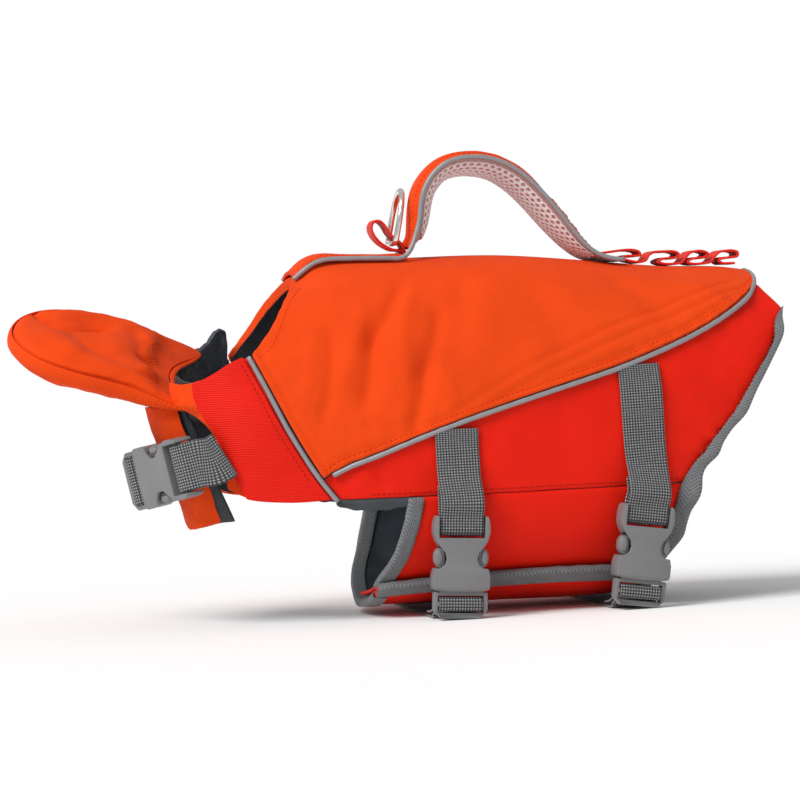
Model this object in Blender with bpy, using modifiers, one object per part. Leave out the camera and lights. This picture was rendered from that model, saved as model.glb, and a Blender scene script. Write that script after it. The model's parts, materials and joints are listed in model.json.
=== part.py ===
"""Dog life jacket, size S, in the pieces that its maker cuts and sews.

Frame: +X towards the tail, -X towards the head, -Y the dog's left, +Z up.
The jacket keeps the hollow form it has when worn and stands on its belly webbings.
Lengths are millimetres; in_metres() turns them into Blender's metres where a mesh is made.
"""
import math
from collections import namedtuple

import bmesh
import bpy
import numpy as np
from mathutils import Matrix, Vector
from mathutils.geometry import tessellate_polygon

GAP = 0.3                 # between pieces that touch
PIPED_GAP = 1.2           # between panels whose seam a piping covers
PANEL_COLUMNS = 20        # columns of faces along the long panels, shared by their seams
CLOTH = 2.0               # coated nylon with its lining
FOAM_PANEL = 6.5          # saddle: cloth, foam, cloth
TAPE = 0.9                # binding tape
WEBBING = 1.5
SIDE_WEB_WIDTH = 25.0
NECK_WEB_WIDTH = 28.0
PIPING_RADIUS = 1.5
STRIP_HALF_WIDTH = 20.0   # spine strip and handle
STRIP_WALL = 2.2
SADDLE_PROUD = 3.0        # the padded saddle stands this far over the side cloth
SEAM_Z = 70.0             # seam between side and belly panels

MIDDLE_X = -2.425         # the origin lies under the middle of the whole length

BACK_ROUND = 2.3          # superellipse exponent of the back
BELLY_ROUND = 2.4         # and of the belly

# The worn body, station by station along X: spine height, height of the widest place, half
# width there and at the seam, and belly height.
Station = namedtuple("Station", "x spine waist half_width seam_half belly")
BODY = (
    Station(-115, 197, 112, 50, 45, 12),
    Station(-60, 205, 108, 66, 64, 12),
    Station(0, 204, 108, 76, 75, 11),
    Station(60, 203.5, 108, 77, 76, 10),
    Station(120, 197.5, 106, 72, 71, 10),
    Station(160, 193, 106, 67, 65, 12),
    Station(200, 191.8, 112, 58, 50, 30),
    Station(235, 190, 122, 45, 42, 60),
)

# Outlines on the left side, as station and height.
Mark = namedtuple("Mark", "x z")
NECK_EDGE = (Mark(-60.5, 204.5), Mark(-67.5, 194), Mark(-73, 184), Mark(-79, 170), Mark(-85, 159),
             Mark(-93, 154))
CHEST_SEAM = (Mark(-93, 154), Mark(-84, 135), Mark(-75, 115), Mark(-66, 98), Mark(-57, 83))
CHEST_SEAM_END = Mark(-48, 71)
SLANT_SEAM = (Mark(-57, 83), Mark(-46, 90), Mark(-30, 95), Mark(-9, 103), Mark(14, 111),
              Mark(37, 118), Mark(60, 124.5), Mark(80, 130), Mark(103, 136), Mark(122, 141.5),
              Mark(141, 148), Mark(160, 155), Mark(180, 164), Mark(197, 173.5), Mark(210, 184))
NECK_DIP = 9.5            # the back rolls down at the neck edge
SADDLE_REAR_X = 211.0
HEM = (Mark(213, 182), Mark(222, 169), Mark(221, 160), Mark(212, 147), Mark(201, 131),
       Mark(186, 108), Mark(179, 98), Mark(166, 86), Mark(160, 76), Mark(156, 67), Mark(152, 54),
       Mark(147, 41), Mark(142, 30), Mark(138, 20))
LEG_EDGE = (Mark(-9, 68), Mark(-11, 58), Mark(-15, 45), Mark(-18, 34), Mark(-24, 25))
FLAP_EDGE_Z = 27.0        # the flap's bound edge on the left side, amidships
FLAP_OUT_FACE = 5.6       # outer face of the flap over the skin

# Broad soft folds of the padded back: station at mid height, lean, width, depth, height range.
Fold = namedtuple("Fold", "x lean width depth low high")
SADDLE_FOLDS = (
    Fold(-34, 0.10, 9, -1.5, 95, 190),
    Fold(-16, 0.05, 10, 1.2, 100, 185),
    Fold(2, -0.12, 9, -1.3, 105, 180),
    Fold(64, -0.9, 16, -0.8, 125, 198),
)

ORANGE = (0.93, 0.11, 0.015)
RED = (0.80, 0.03, 0.006)
SCARLET = (0.78, 0.02, 0.012)
SLATE = (0.018, 0.022, 0.028)
TAPE_GREY = (0.20, 0.21, 0.22)
PIPE_GREY = (0.38, 0.38, 0.40)
WEB_GREY = (0.16, 0.165, 0.17)
PLASTIC_GREY = (0.30, 0.30, 0.31)
MESH_WHITE = (0.80, 0.78, 0.78)
STEEL = (0.62, 0.60, 0.56)


# ---------------------------------------------------------------- scene and materials

def clear_scene():
    for thing in list(bpy.data.objects):
        bpy.data.objects.remove(thing, do_unlink=True)


def new_collection(name):
    group = bpy.data.collections.new(name)
    bpy.context.scene.collection.children.link(group)
    return group


def material(name, colour, roughness, metallic=0.0):
    made = bpy.data.materials.new(name)
    made.use_nodes = True
    shader = made.node_tree.nodes["Principled BSDF"]
    shader.inputs["Base Color"].default_value = (*colour, 1.0)
    shader.inputs["Roughness"].default_value = roughness
    shader.inputs["Metallic"].default_value = metallic
    made.diffuse_color = (*colour, 1.0)
    return made


def in_metres(point):
    x, y, z = (0.001 * float(value) for value in point)
    return x - 0.001 * MIDDLE_X, y, z


def add_object(name, mesh, finish, group):
    mesh.materials.append(finish)
    thing = bpy.data.objects.new(name, mesh)
    group.objects.link(thing)
    return thing


# ---------------------------------------------------------------- the body's skin

def body_at(x):
    """The body table's values at station x, on a smooth curve through its rows."""
    stations = np.array([row.x for row in BODY], float)
    table = np.array([row[1:] for row in BODY], float)
    slopes = np.gradient(table, stations, axis=0)
    x = min(max(x, stations[0]), stations[-1])
    row = int(min(max(np.searchsorted(stations, x) - 1, 0), len(BODY) - 2))
    length = stations[row + 1] - stations[row]
    t = (x - stations[row]) / length
    value = ((2 * t**3 - 3 * t**2 + 1) * table[row] + (t**3 - 2 * t**2 + t) * length * slopes[row]
             + (3 * t**2 - 2 * t**3) * table[row + 1] + (t**3 - t**2) * length * slopes[row + 1])
    return Station(x, *value)


def ease(t):
    t = min(1.0, max(0.0, t))
    return t * t * (3 - 2 * t)


SECTIONS = {}


def section(x):
    """Arc length, half width and height down one side at station x, spine to belly line."""
    key = round(x, 3)
    if key not in SECTIONS:
        body = body_at(x)
        turn = np.linspace(0.0, math.pi / 2, 31)
        drop = np.linspace(0.0, 1.0, 9)[1:]
        back_y = body.half_width * np.sin(turn) ** (2 / BACK_ROUND)
        back_z = body.waist + (body.spine - body.waist) * np.cos(turn) ** (2 / BACK_ROUND)
        side_y = body.half_width - (body.half_width - body.seam_half) * drop**2
        side_z = body.waist - (body.waist - SEAM_Z) * drop
        belly_y = body.seam_half * np.cos(turn[1:]) ** (2 / BELLY_ROUND)
        belly_z = SEAM_Z - (SEAM_Z - body.belly) * np.sin(turn[1:]) ** (2 / BELLY_ROUND)
        y = np.concatenate((back_y, side_y, belly_y))
        z = np.concatenate((back_z, side_z, belly_z))
        arc = np.concatenate(([0.0], np.cumsum(np.hypot(np.diff(y), np.diff(z)))))
        SECTIONS[key] = (arc, y, z)
    return SECTIONS[key]


def half_girth(x):
    return section(x)[0][-1]


def arc_at(x, z):
    """How far down the left side, from the spine, the skin at station x has height z."""
    arc, _, height = section(x)
    return float(np.interp(-z, -height, arc))


def skin_point(x, arc):
    """Left side for an arc above 0; below 0, or past the belly line, the right side."""
    lengths, half, height = section(x)
    far = arc < 0
    arc = abs(arc)
    if arc > lengths[-1]:
        arc = 2 * lengths[-1] - arc
        far = not far
    y = float(np.interp(arc, lengths, half))
    dip = NECK_DIP * ease((-47.0 - x) / 14.0) * (1 - ease((arc - 22.0) / 45.0))
    return np.array((x, y if far else -y, float(np.interp(arc, lengths, height)) - dip))


def unit(vector):
    return vector / np.linalg.norm(vector)


def skin(x, arc, out=0.0):
    """A point of the skin, moved out along its normal."""
    step = 1.5
    ahead = skin_point(x + step, arc) - skin_point(x - step, arc)
    around = skin_point(x, arc + step) - skin_point(x, arc - step)
    return skin_point(x, arc) + out * unit(np.cross(around, ahead))


# ---------------------------------------------------------------- curves and grids

def on_skin(marks):
    """Marks of station and height, as rows of station and arc."""
    return np.array([(mark.x, arc_at(mark.x, mark.z)) for mark in marks])


def resample(points, count):
    """Evenly spaced points, along straight runs, on a list of points of any dimension."""
    points = np.asarray(points, float)
    run = np.concatenate(([0.0], np.cumsum(np.linalg.norm(np.diff(points, axis=0), axis=1))))
    places = np.linspace(0.0, run[-1], count)
    return np.stack([np.interp(places, run, points[:, k]) for k in range(points.shape[1])], axis=1)


def smooth(points, count):
    """Evenly spaced points on a Catmull-Rom curve through a list of points."""
    points = np.asarray(points, float)
    padded = np.vstack((2 * points[0] - points[1], points, 2 * points[-1] - points[-2]))
    dense = []
    for k in range(1, len(padded) - 2):
        a, b, c, d = padded[k - 1:k + 3]
        for t in np.linspace(0.0, 1.0, 9)[:-1]:
            dense.append(0.5 * (2 * b + (c - a) * t + (2 * a - 5 * b + 4 * c - d) * t**2
                                + (3 * b - a - 3 * c + d) * t**3))
    dense.append(points[-1])
    return resample(dense, count)


def coons(top, bottom, left, right):
    """A grid between four edges: top and bottom have its columns, left and right its rows."""
    rows, columns = len(left), len(top)
    down = np.linspace(0.0, 1.0, rows)[:, None, None]
    along = np.linspace(0.0, 1.0, columns)[None, :, None]
    ruled_down = (1 - down) * top[None] + down * bottom[None]
    ruled_along = (1 - along) * left[:, None] + along * right[:, None]
    corners = ((1 - down) * ((1 - along) * top[0] + along * top[-1])
               + down * ((1 - along) * bottom[0] + along * bottom[-1]))
    return ruled_down + ruled_along - corners


def skin_grid(grid, out):
    """A grid of station and arc, as points; out is a number or a function of station and arc."""
    lift = out if callable(out) else (lambda x, arc: out)
    return np.array([[skin(x, arc, lift(x, arc)) for x, arc in row] for row in grid])


def mirrored(grid):
    """The same grid on the other side, its faces still pointing outwards."""
    return grid[:, ::-1] * np.array((1.0, -1.0, 1.0))


def normals(grid):
    normal = np.cross(np.gradient(grid, axis=0), np.gradient(grid, axis=1))
    return normal / np.linalg.norm(normal, axis=2, keepdims=True)


def shifted(grid, distance):
    """A grid moved along its own normals."""
    return grid + distance * normals(grid)


def cloth(name, grid, thickness, finish, group, side=-1):
    """A wall of cloth on a grid of points: it grows inwards (side -1), outwards (1) or both (0)."""
    rows, columns = grid.shape[:2]
    mesh = bpy.data.meshes.new(name)
    points = [in_metres(point) for point in grid.reshape(-1, 3)]
    faces = [(i * columns + j, (i + 1) * columns + j, (i + 1) * columns + j + 1, i * columns + j + 1)
             for i in range(rows - 1) for j in range(columns - 1)]
    mesh.from_pydata(points, [], faces)
    mesh.shade_smooth()
    thing = add_object(name, mesh, finish, group)
    wall = thing.modifiers.new("wall", "SOLIDIFY")
    wall.thickness = 0.001 * thickness
    wall.offset = side
    wall.use_even_offset = True
    return thing


def wall(name, outer, inner, finish, group):
    """A closed wall of cloth between two grids of points, its outer and its inner face."""
    rows, columns = outer.shape[:2]
    count = rows * columns
    points = [in_metres(point) for point in np.concatenate((outer.reshape(-1, 3),
                                                            inner.reshape(-1, 3)))]
    faces = []
    for i in range(rows - 1):
        for j in range(columns - 1):
            face = (i * columns + j, (i + 1) * columns + j, (i + 1) * columns + j + 1,
                    i * columns + j + 1)
            faces.append(face)
            faces.append(tuple(count + corner for corner in reversed(face)))
    rim = ([j for j in range(columns)] + [i * columns + columns - 1 for i in range(1, rows)]
           + [(rows - 1) * columns + j for j in range(columns - 2, -1, -1)]
           + [i * columns for i in range(rows - 2, 0, -1)])
    for first, second in zip(rim, rim[1:] + rim[:1]):
        faces.append((first, second, count + second, count + first))
    mesh = bpy.data.meshes.new(name)
    mesh.from_pydata(points, [], faces)
    mesh.shade_smooth()
    mesh.set_sharp_from_angle(angle=math.radians(50))
    return add_object(name, mesh, finish, group)


def panel_pair(name, cells, out, thickness, finish, group):
    """A panel of cloth on the skin, left and right; cells is its grid of station and arc."""
    lift = out if callable(out) else (lambda x, arc: out)
    outer = skin_grid(cells, lift)
    inner = skin_grid(cells, lambda x, arc: lift(x, arc) - thickness)
    wall(name + "_left", outer, inner, finish, group)
    wall(name + "_right", mirrored(outer), mirrored(inner), finish, group)
    return outer


def band(name, path, across, finish, group):
    """Webbing along a path; across is its whole width as a vector, one or one a point."""
    path = np.asarray(path, float)
    across = np.broadcast_to(np.asarray(across, float), path.shape)
    rings = []
    for place, width, ahead in zip(path, across, np.gradient(path, axis=0)):
        lift = unit(np.cross(ahead, width)) * WEBBING / 2
        half = width / 2
        rings.append((place - half - lift, place + half - lift,
                      place + half + lift, place - half + lift))
    return loft(name, rings, finish, group)


def tube(name, points, radius, finish, group, closed=False):
    """A cord, piping or wire, six-sided."""
    points = np.asarray(points, float)
    if closed:
        headings = np.roll(points, -1, axis=0) - np.roll(points, 1, axis=0)
    else:
        headings = np.gradient(points, axis=0)
    side = np.array((0.0, 0.0, 1.0)) if abs(unit(headings[0])[2]) < 0.7 else np.array((1.0, 0.0, 0.0))
    rings = []
    for place, ahead in zip(points, headings):
        ahead = unit(ahead)
        side = unit(side - ahead * np.dot(side, ahead))
        up = np.cross(ahead, side)
        rings.append([place + radius * (math.cos(turn) * side + math.sin(turn) * up)
                      for turn in np.linspace(0.0, 2 * math.pi, 7)[:-1]])
    return loft(name, rings, finish, group, closed)


def loft(name, rings, finish, group, closed=False):
    """A solid through rings of points, all running the same way round; closed joins its ends."""
    mesh = bpy.data.meshes.new(name)
    work = bmesh.new()
    loops = [[work.verts.new(in_metres(point)) for point in ring] for ring in rings]
    following = loops[1:] + loops[:1] if closed else loops[1:]
    for first, second in zip(loops, following):
        count = len(first)
        for k in range(count):
            work.faces.new((first[k], first[(k + 1) % count], second[(k + 1) % count], second[k]))
    if not closed:
        work.faces.new(loops[0][::-1])
        work.faces.new(loops[-1])
    bmesh.ops.recalc_face_normals(work, faces=work.faces)
    work.to_mesh(mesh)
    work.free()
    mesh.shade_smooth()
    mesh.set_sharp_from_angle(angle=math.radians(40))
    return add_object(name, mesh, finish, group)


def between(rows, extra):
    """Rows of points with extra rows put evenly between each two."""
    rows = np.asarray(rows, float)
    places = np.linspace(0.0, len(rows) - 1, (len(rows) - 1) * (extra + 1) + 1)
    return np.stack([np.interp(places, range(len(rows)), rows[:, k]) for k in range(3)], axis=1)


def bound_edge(name, edge, inside, reach, finish, group, wave=0.0):
    """Tape folded over a cloth's edge; inside is the row of the cloth's points next to its edge."""
    if wave:
        edge, inside = between(edge, 1), between(inside, 1)
    rings = []
    for k, (place, next_in, travel) in enumerate(zip(edge, inside, np.gradient(edge, axis=0))):
        inward = unit(next_in - place)
        outward = unit(np.cross(travel, inward))
        if np.dot(outward, place - np.array((place[0], 0.0, 110.0))) < 0:
            outward = -outward
        push = wave * (0.5 + 0.5 * math.sin(2.4 * k) * math.sin(0.9 * k + 1.0))
        low = -CLOTH - 2 * GAP
        high = 0.5
        fold = -0.8 - push
        leaf = ((reach, high), (-0.5, high), (fold, -CLOTH / 2), (-0.5, low), (reach, low),
                (reach, low - TAPE), (-0.5, low - TAPE), (fold - TAPE, -CLOTH / 2),
                (-0.5, high + TAPE), (reach, high + TAPE))
        rings.append([place + inward * depth + outward * height for depth, height in leaf])
    return loft(name, rings, finish, group)


# ---------------------------------------------------------------- saddle, sides and belly

def fold_depth(folds, x, z):
    """How far the skin stands in or out at station x and height z, from a table of folds."""
    depth = 0.0
    for fold in folds:
        middle = (fold.low + fold.high) / 2
        half = (fold.high - fold.low) / 2
        reach = max(0.0, 1 - ((z - middle) / half) ** 2)
        place = fold.x + fold.lean * (z - middle)
        depth += fold.depth * reach * math.exp(-((x - place) / fold.width) ** 2)
    return depth


def saddle_out(x, arc):
    """Outer face of the padded saddle over the skin: proud, fuller in the middle, folded."""
    z = skin_point(x, arc)[2]
    turned_down = 2.5 * ease((x - 201.0) / 10.0)
    return SADDLE_PROUD - turned_down + fold_depth(SADDLE_FOLDS, x, z)


def panel_shares():
    """Where the long panels' columns lie, from 0 to 1: closer together at the neck."""
    return np.linspace(0.0, 1.0, PANEL_COLUMNS) ** 1.3


def slant_seam():
    """The saddle's lower edge, front to rear, as station and arc."""
    fine = smooth(on_skin(SLANT_SEAM), 200)
    shares = panel_shares() * (len(fine) - 1)
    return np.stack([np.interp(shares, range(len(fine)), fine[:, k]) for k in range(2)], axis=1)


def saddle_front():
    """The saddle's front edge, neck to chest, as station and arc."""
    front = np.vstack((on_skin(NECK_EDGE), on_skin(CHEST_SEAM)[1:]))
    front[0, 1] = GAP / 2
    return front


def make_saddle(group, finish):
    front = saddle_front()
    columns, neck_rows, seam_rows = PANEL_COLUMNS, 6, 6
    corner = len(NECK_EDGE)
    left = np.vstack((resample(front[:corner], neck_rows), resample(front[corner - 1:], seam_rows)[1:]))
    bottom = slant_seam()
    top = np.stack((front[0, 0] + (SADDLE_REAR_X - front[0, 0]) * panel_shares(),
                    np.full(columns, GAP / 2)), axis=1)
    right = np.linspace((SADDLE_REAR_X, GAP / 2), bottom[-1], neck_rows + seam_rows - 1)
    panel_pair("saddle", coons(top, bottom, left, right), saddle_out, FOAM_PANEL, finish, group)


def make_sides(group, finish):
    """Red side panels, from the slanting seam down to the belly seam."""
    hem = on_skin(HEM)
    seam_row = [k for k, mark in enumerate(HEM) if mark.z > SEAM_Z][-1]
    rear_end = np.array((157.0, arc_at(157.0, SEAM_Z + GAP / 2)))
    front_end = np.array((CHEST_SEAM_END.x, arc_at(CHEST_SEAM_END.x, CHEST_SEAM_END.z)))
    rows, columns = 8, PANEL_COLUMNS
    top = slant_seam() + np.array((0.0, PIPED_GAP))
    right = resample(np.vstack((top[-1:], hem[:seam_row + 1], rear_end)), rows)
    seam_x = front_end[0] + (rear_end[0] - front_end[0]) * panel_shares()
    bottom = np.array([(x, arc_at(x, SEAM_Z + GAP / 2)) for x in seam_x])
    left = np.linspace(top[0], bottom[0], rows)
    return panel_pair("side", coons(top, bottom, left, right), 0.0, CLOTH, finish, group)


def belly_front_edge(beyond):
    """The belly cloth's front edge, from the seam down and on past the belly line."""
    down = on_skin(LEG_EDGE)
    across = [(-30.0, half_girth(-30.0) + beyond)]
    return np.vstack((down, across))


def belly_rear_edge(beyond):
    low = [mark for mark in HEM if mark.z < SEAM_Z]
    down = on_skin((Mark(157.0, SEAM_Z - GAP / 2), *low))
    across = [(134.0, half_girth(134.0) + beyond)]
    return np.vstack((down, across))


def make_belly(group, finish):
    """The inner panel hangs from the left seam; the flap from the right seam, outside it."""
    rows, columns = 10, 12
    under = -8.0
    left = resample(belly_front_edge(under), rows)
    right = resample(belly_rear_edge(under), rows)
    seam_x = np.linspace(left[0, 0], right[0, 0], columns)
    top = np.array([(x, arc_at(x, SEAM_Z - GAP / 2)) for x in seam_x])
    bottom = resample((left[-1], right[-1]), columns)
    bottom[:, 1] = [half_girth(x) + under for x in bottom[:, 0]]
    left[0], right[0] = top[0], top[-1]
    inner = skin_grid(coons(top, bottom, left, right), 0.0)
    cloth("belly_left", inner, CLOTH, finish, group)

    left = resample(belly_front_edge(0.0), rows)
    right = resample(belly_rear_edge(0.0), rows)
    left[0], right[0] = top[0], top[-1]
    edge = flap_edge(columns)
    middle_left, middle_right = left[-1], right[-1]
    right_side = coons(top, np.linspace(middle_left, middle_right, columns), left, right)
    for j in range(columns):
        right_side[-1, j, 1] = half_girth(right_side[-1, j, 0])
    half = mirrored(skin_grid(right_side, flap_out))
    turn_rows = 5
    wrap = []
    for k in range(1, turn_rows + 1):
        t = k / turn_rows
        row = []
        for j in range(columns):
            start = right_side[-1, columns - 1 - j]
            place = start + t * (edge[columns - 1 - j] - start)
            row.append(skin(place[0], place[1], FLAP_OUT_FACE))
        wrap.append(row)
    flap = np.concatenate((half, np.array(wrap)))
    cloth("belly_flap", flap, CLOTH, finish, group)
    return inner, flap


def flap_out(x, arc):
    """The flap leaves its seam flush and comes to lie outside the inner belly panel."""
    below_seam = abs(arc) - arc_at(x, SEAM_Z)
    return FLAP_OUT_FACE * min(1.0, max(0.0, below_seam / 65.0))


def flap_edge(count):
    """The flap's bound edge on the left side, front to rear, as station and arc."""
    stations = np.linspace(-26.0, 136.0, count)
    height = [FLAP_EDGE_Z - 4.0 * ((x - 70.0) / 90.0) ** 2 for x in stations]
    return np.array([(x, arc_at(x, z)) for x, z in zip(stations, height)])


# ---------------------------------------------------------------- collar, chest and throat

# The collar's four edges on the left, as points. Its rear edge is the chest seam.
COLLAR_TOP = ((-104, -52, 151), (-115, -48, 144), (-126, -40, 139), (-134, -27, 141))
COLLAR_FRONT = ((-134, -30, 131), (-126, -40, 121), (-118, -46, 113), (-113, -49, 98))
COLLAR_LOW = ((-110, -49, 79), (-100, -53, 73), (-88, -58, 71), (-70, -63, 70))
COLLAR_ROWS, COLLAR_COLUMNS = 10, 9
FAR_COLLAR_LIFT = 15.0    # the right collar's rear top corner is pushed up
# Share of the collar's length in front of the ribbed panel, from the top row to the bottom row.
CHEST_START = ((0.0, 0.30), (0.2, 0.26), (0.4, 0.19), (0.55, 0.10), (0.7, 0.05), (1.0, 0.20))
CHEST_PROUD = 1.7


def chest_seam_points():
    marks = (*CHEST_SEAM, CHEST_SEAM_END)
    line = [(mark.x - PIPED_GAP, arc_at(mark.x, mark.z)) for mark in marks]
    return np.array([skin(x, arc) for x, arc in line])


def collar_grid():
    """Outer face of the left collar: rows from its top edge down, columns front to rear."""
    seam = chest_seam_points()
    top = smooth((*COLLAR_TOP[::-1], seam[0]), COLLAR_COLUMNS)
    bottom = smooth((*COLLAR_LOW, seam[-1]), COLLAR_COLUMNS)
    front = smooth((COLLAR_TOP[-1], *COLLAR_FRONT, COLLAR_LOW[0]), COLLAR_ROWS)
    rear = resample(seam, COLLAR_ROWS)
    return coons(top, bottom, front, rear)


def lifted(grid, lift):
    """A collar whose top edge is pushed up by lift, most just in front of its rear corner."""
    rows, columns = grid.shape[:2]
    rise = np.zeros_like(grid)
    for i in range(rows):
        for j in range(columns):
            along = j / (columns - 1)
            reach = min(1.0, along / 0.8) ** 2
            rise[i, j, 2] = lift * (1 - i / (rows - 1)) ** 1.5 * math.sin(math.pi * reach)
    return grid + rise


def chest_cells(grid, height, rear_gap):
    """A face over the part of a left collar that its ribbed panel covers."""
    rows, columns = grid.shape[:2]
    raised = grid + height * normals(grid)
    cells = np.zeros((rows, columns - 1, 3))
    for i in range(rows):
        t = i / (rows - 1)
        length = np.linalg.norm(np.diff(grid[i], axis=0), axis=1).sum()
        start = float(np.interp(t, *np.array(CHEST_START).T))
        places = np.linspace(start, 1 - rear_gap / length, columns - 1) * (columns - 1)
        for k in range(3):
            cells[i, :, k] = np.interp(places, range(columns), raised[i, :, k])
    return cells


def make_collar(group, orange, ribbed):
    left = collar_grid()
    right = lifted(left, FAR_COLLAR_LIFT)
    wall("collar_left", left, shifted(left, -CLOTH), orange, group)
    wall("collar_right", mirrored(right), mirrored(shifted(right, -CLOTH)), orange, group)
    faces = [chest_cells(grid, height, rear_gap) for grid, rear_gap in ((left, 4.4), (right, 5.0))
             for height in (2 * GAP + CHEST_PROUD, 2 * GAP)]
    wall("chest_left", faces[0], faces[1], ribbed, group)
    wall("chest_right", mirrored(faces[2]), mirrored(faces[3]), ribbed, group)


# The throat piece: a strip under the chin, each row from its left edge round the front to its
# right edge: height, edge and front stations, half width.
Ring = namedtuple("Ring", "z edge_x front_x half")
THROAT = (Ring(126.4, -135, -149.5, 29), Ring(118, -133, -149, 30), Ring(104, -128, -143.5, 30.5),
          Ring(88, -121, -138, 31.5), Ring(72, -116, -133, 31), Ring(59, -112, -128, 28))


def throat_grid(grow, extra_low):
    """grow moves the face in; extra_low widens the lower rows beyond the left edge."""
    rows = []
    for place, ring in enumerate(THROAT):
        more = extra_low * place / (len(THROAT) - 1)
        row = []
        for angle in np.linspace(-90.0, 90.0, 9):
            turn = math.radians(angle)
            depth = ring.edge_x - ring.front_x - grow
            row.append((ring.edge_x - depth * math.cos(turn), (ring.half - grow) * math.sin(turn),
                        ring.z - 4.0 * math.cos(turn) * (place == len(THROAT) - 1)))
        if more:
            row.insert(0, (ring.edge_x + more, -(ring.half - grow) + 0.15 * more, ring.z))
            row.append((ring.edge_x + more, (ring.half - grow) - 0.15 * more, ring.z))
        elif extra_low:
            row.insert(0, (ring.edge_x + 0.8, -(ring.half - grow), ring.z))
            row.append((ring.edge_x + 0.8, ring.half - grow, ring.z))
        rows.append(row)
    return np.array(rows)[:, ::-1]


def make_throat(group, orange, slate):
    outer = throat_grid(0.0, 0.0)
    wall("throat", outer, throat_grid(CLOTH, 0.0), orange, group)
    lining = throat_grid(CLOTH + GAP, 9.0)
    wall("throat_lining", lining, throat_grid(CLOTH + GAP + 1.2, 9.0), slate, group)


# The dark roll inside the neck opening, from the left round the front to the right: plan place,
# height of its top edge.
Roll = namedtuple("Roll", "x y top")
NECK_ROLL = (Roll(-108, -48, 139), Roll(-121, -39.5, 139), Roll(-129.5, -26, 141),
             Roll(-134, 0, 145), Roll(-129.5, 25.5, 150), Roll(-121, 37.5, 155), Roll(-109, 44.5, 162),
             Roll(-100, 48, 173), Roll(-94.5, 48.5, 169))
NECK_ROLL_LOW = 118.0
NECK_ROLL_WALL = 4.0


def make_neck_lining(group, slate):
    line = smooth([(roll.x, roll.y, roll.top) for roll in NECK_ROLL], 18)
    rows = []
    for t, lean in ((0.0, 1.5), (0.12, 0.0), (0.5, -0.8), (1.0, 0.0)):
        row = line.copy()
        row[:, 2] = line[:, 2] + t * (NECK_ROLL_LOW - line[:, 2])
        heading = np.gradient(line, axis=0)
        heading[:, 2] = 0.0
        heading /= np.linalg.norm(heading, axis=1, keepdims=True)
        row[:, 0] += lean * heading[:, 1]
        row[:, 1] -= lean * heading[:, 0]
        rows.append(row)
    face = np.array(rows)[:, ::-1]
    wall("neck_lining", face, shifted(face, -NECK_ROLL_WALL), slate, group)


# ---------------------------------------------------------------- front float

FLOAT_ROOT = np.array((-125.0, 2.0, 143.0))
FLOAT_RISE = math.radians(15.5)    # its tip stands higher than its root
FLOAT_ROLL = math.radians(30.0)    # and its left edge hangs lower than its right one
FLOAT_HALF_WIDTH = 39.0
FLOAT_HALF_THICK = 10.0
GUSSET_HALF = 4.6
# Outline: distance from the root and half width.
Girth = namedtuple("Girth", "along half")
FLOAT_OUTLINE = (Girth(106, 0), Girth(103.5, 12), Girth(97, 23), Girth(86, 32), Girth(72, 37),
                 Girth(54, 39), Girth(36, 39), Girth(18, 38), Girth(4, 35), Girth(0, 31),
                 Girth(0, 16))
# Where the float's root lies on the collar, from its left edge to its right edge.
FLOAT_BASE = ((-132, -38, 122), (-137.5, -20, 134), (-135.9, 0, 147), (-126.5, 24, 153.8),
              (-113, 44, 158.6))
# The trough along the top, where the pad is folded: distance from the root and place across.
FLOAT_TROUGH = ((34, 17), (58, 17), (76, 11), (86, 14), (97, 30))
FLOAT_TROUGH_DEPTH = 6.2


def float_frame():
    along = np.array((-math.cos(FLOAT_RISE), 0.0, math.sin(FLOAT_RISE)))
    level = np.array((math.sin(FLOAT_RISE), 0.0, math.cos(FLOAT_RISE)))
    sideways = np.array((0.0, 1.0, 0.0))
    across = math.cos(FLOAT_ROLL) * sideways + math.sin(FLOAT_ROLL) * level
    normal = math.cos(FLOAT_ROLL) * level - math.sin(FLOAT_ROLL) * sideways
    return along, across, normal


def float_point(p, q, n):
    """A place in the float: p from its root, q across, n over its middle surface."""
    along, across, normal = float_frame()
    thin = 0.22 + 0.78 * ease(p / 26.0)
    cup = 3.0 * (q / FLOAT_HALF_WIDTH) ** 2
    if n > GUSSET_HALF:
        trough = np.array(FLOAT_TROUGH, float)
        place = float(np.interp(p, trough[:, 0], trough[:, 1]))
        fade = ease((p - 30.0) / 30.0) * ease((101.0 - p) / 12.0)
        top = (n - GUSSET_HALF) / (FLOAT_HALF_THICK - GUSSET_HALF)
        n -= FLOAT_TROUGH_DEPTH * fade * top * math.exp(-((q - place) / 6.0) ** 2)
    height = n * thin if abs(n) > GAP else n
    pad = FLOAT_ROOT + along * p + across * q + normal * (height + cup)
    base_line = np.array(FLOAT_BASE, float)
    place = (q / FLOAT_HALF_WIDTH + 1) / 2 * (len(base_line) - 1)
    base = np.array([np.interp(place, range(len(base_line)), base_line[:, k]) for k in range(3)])
    blend = ease(p / 40.0)
    return (1 - blend) * (base + normal * height + along * p) + blend * pad


def float_outline():
    left = [(girth.along, -girth.half) for girth in FLOAT_OUTLINE]
    right = [(girth.along, girth.half) for girth in FLOAT_OUTLINE[1:]]
    return left + [(0.0, 0.0)] + right[::-1]


def inset(outline, share):
    """The float's outline drawn in towards its middle line."""
    drawn = []
    for p, q in outline:
        middle = min(66.0, max(38.0, p))
        drawn.append((middle + (p - middle) * share, q * share))
    return drawn


def float_half(side):
    """Rings of the float's upper (side 1) or lower (-1) half, inner face first."""
    profile = ((0.2, GAP / 2), (0.65, GAP / 2), (0.955, GAP / 2), (0.955, GUSSET_HALF + GAP),
               (0.90, 7.4), (0.72, 9.2), (0.45, 9.8), (0.2, FLOAT_HALF_THICK))
    return [[float_point(p, q, side * n) for p, q in inset(float_outline(), share)]
            for share, n in profile]


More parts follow.
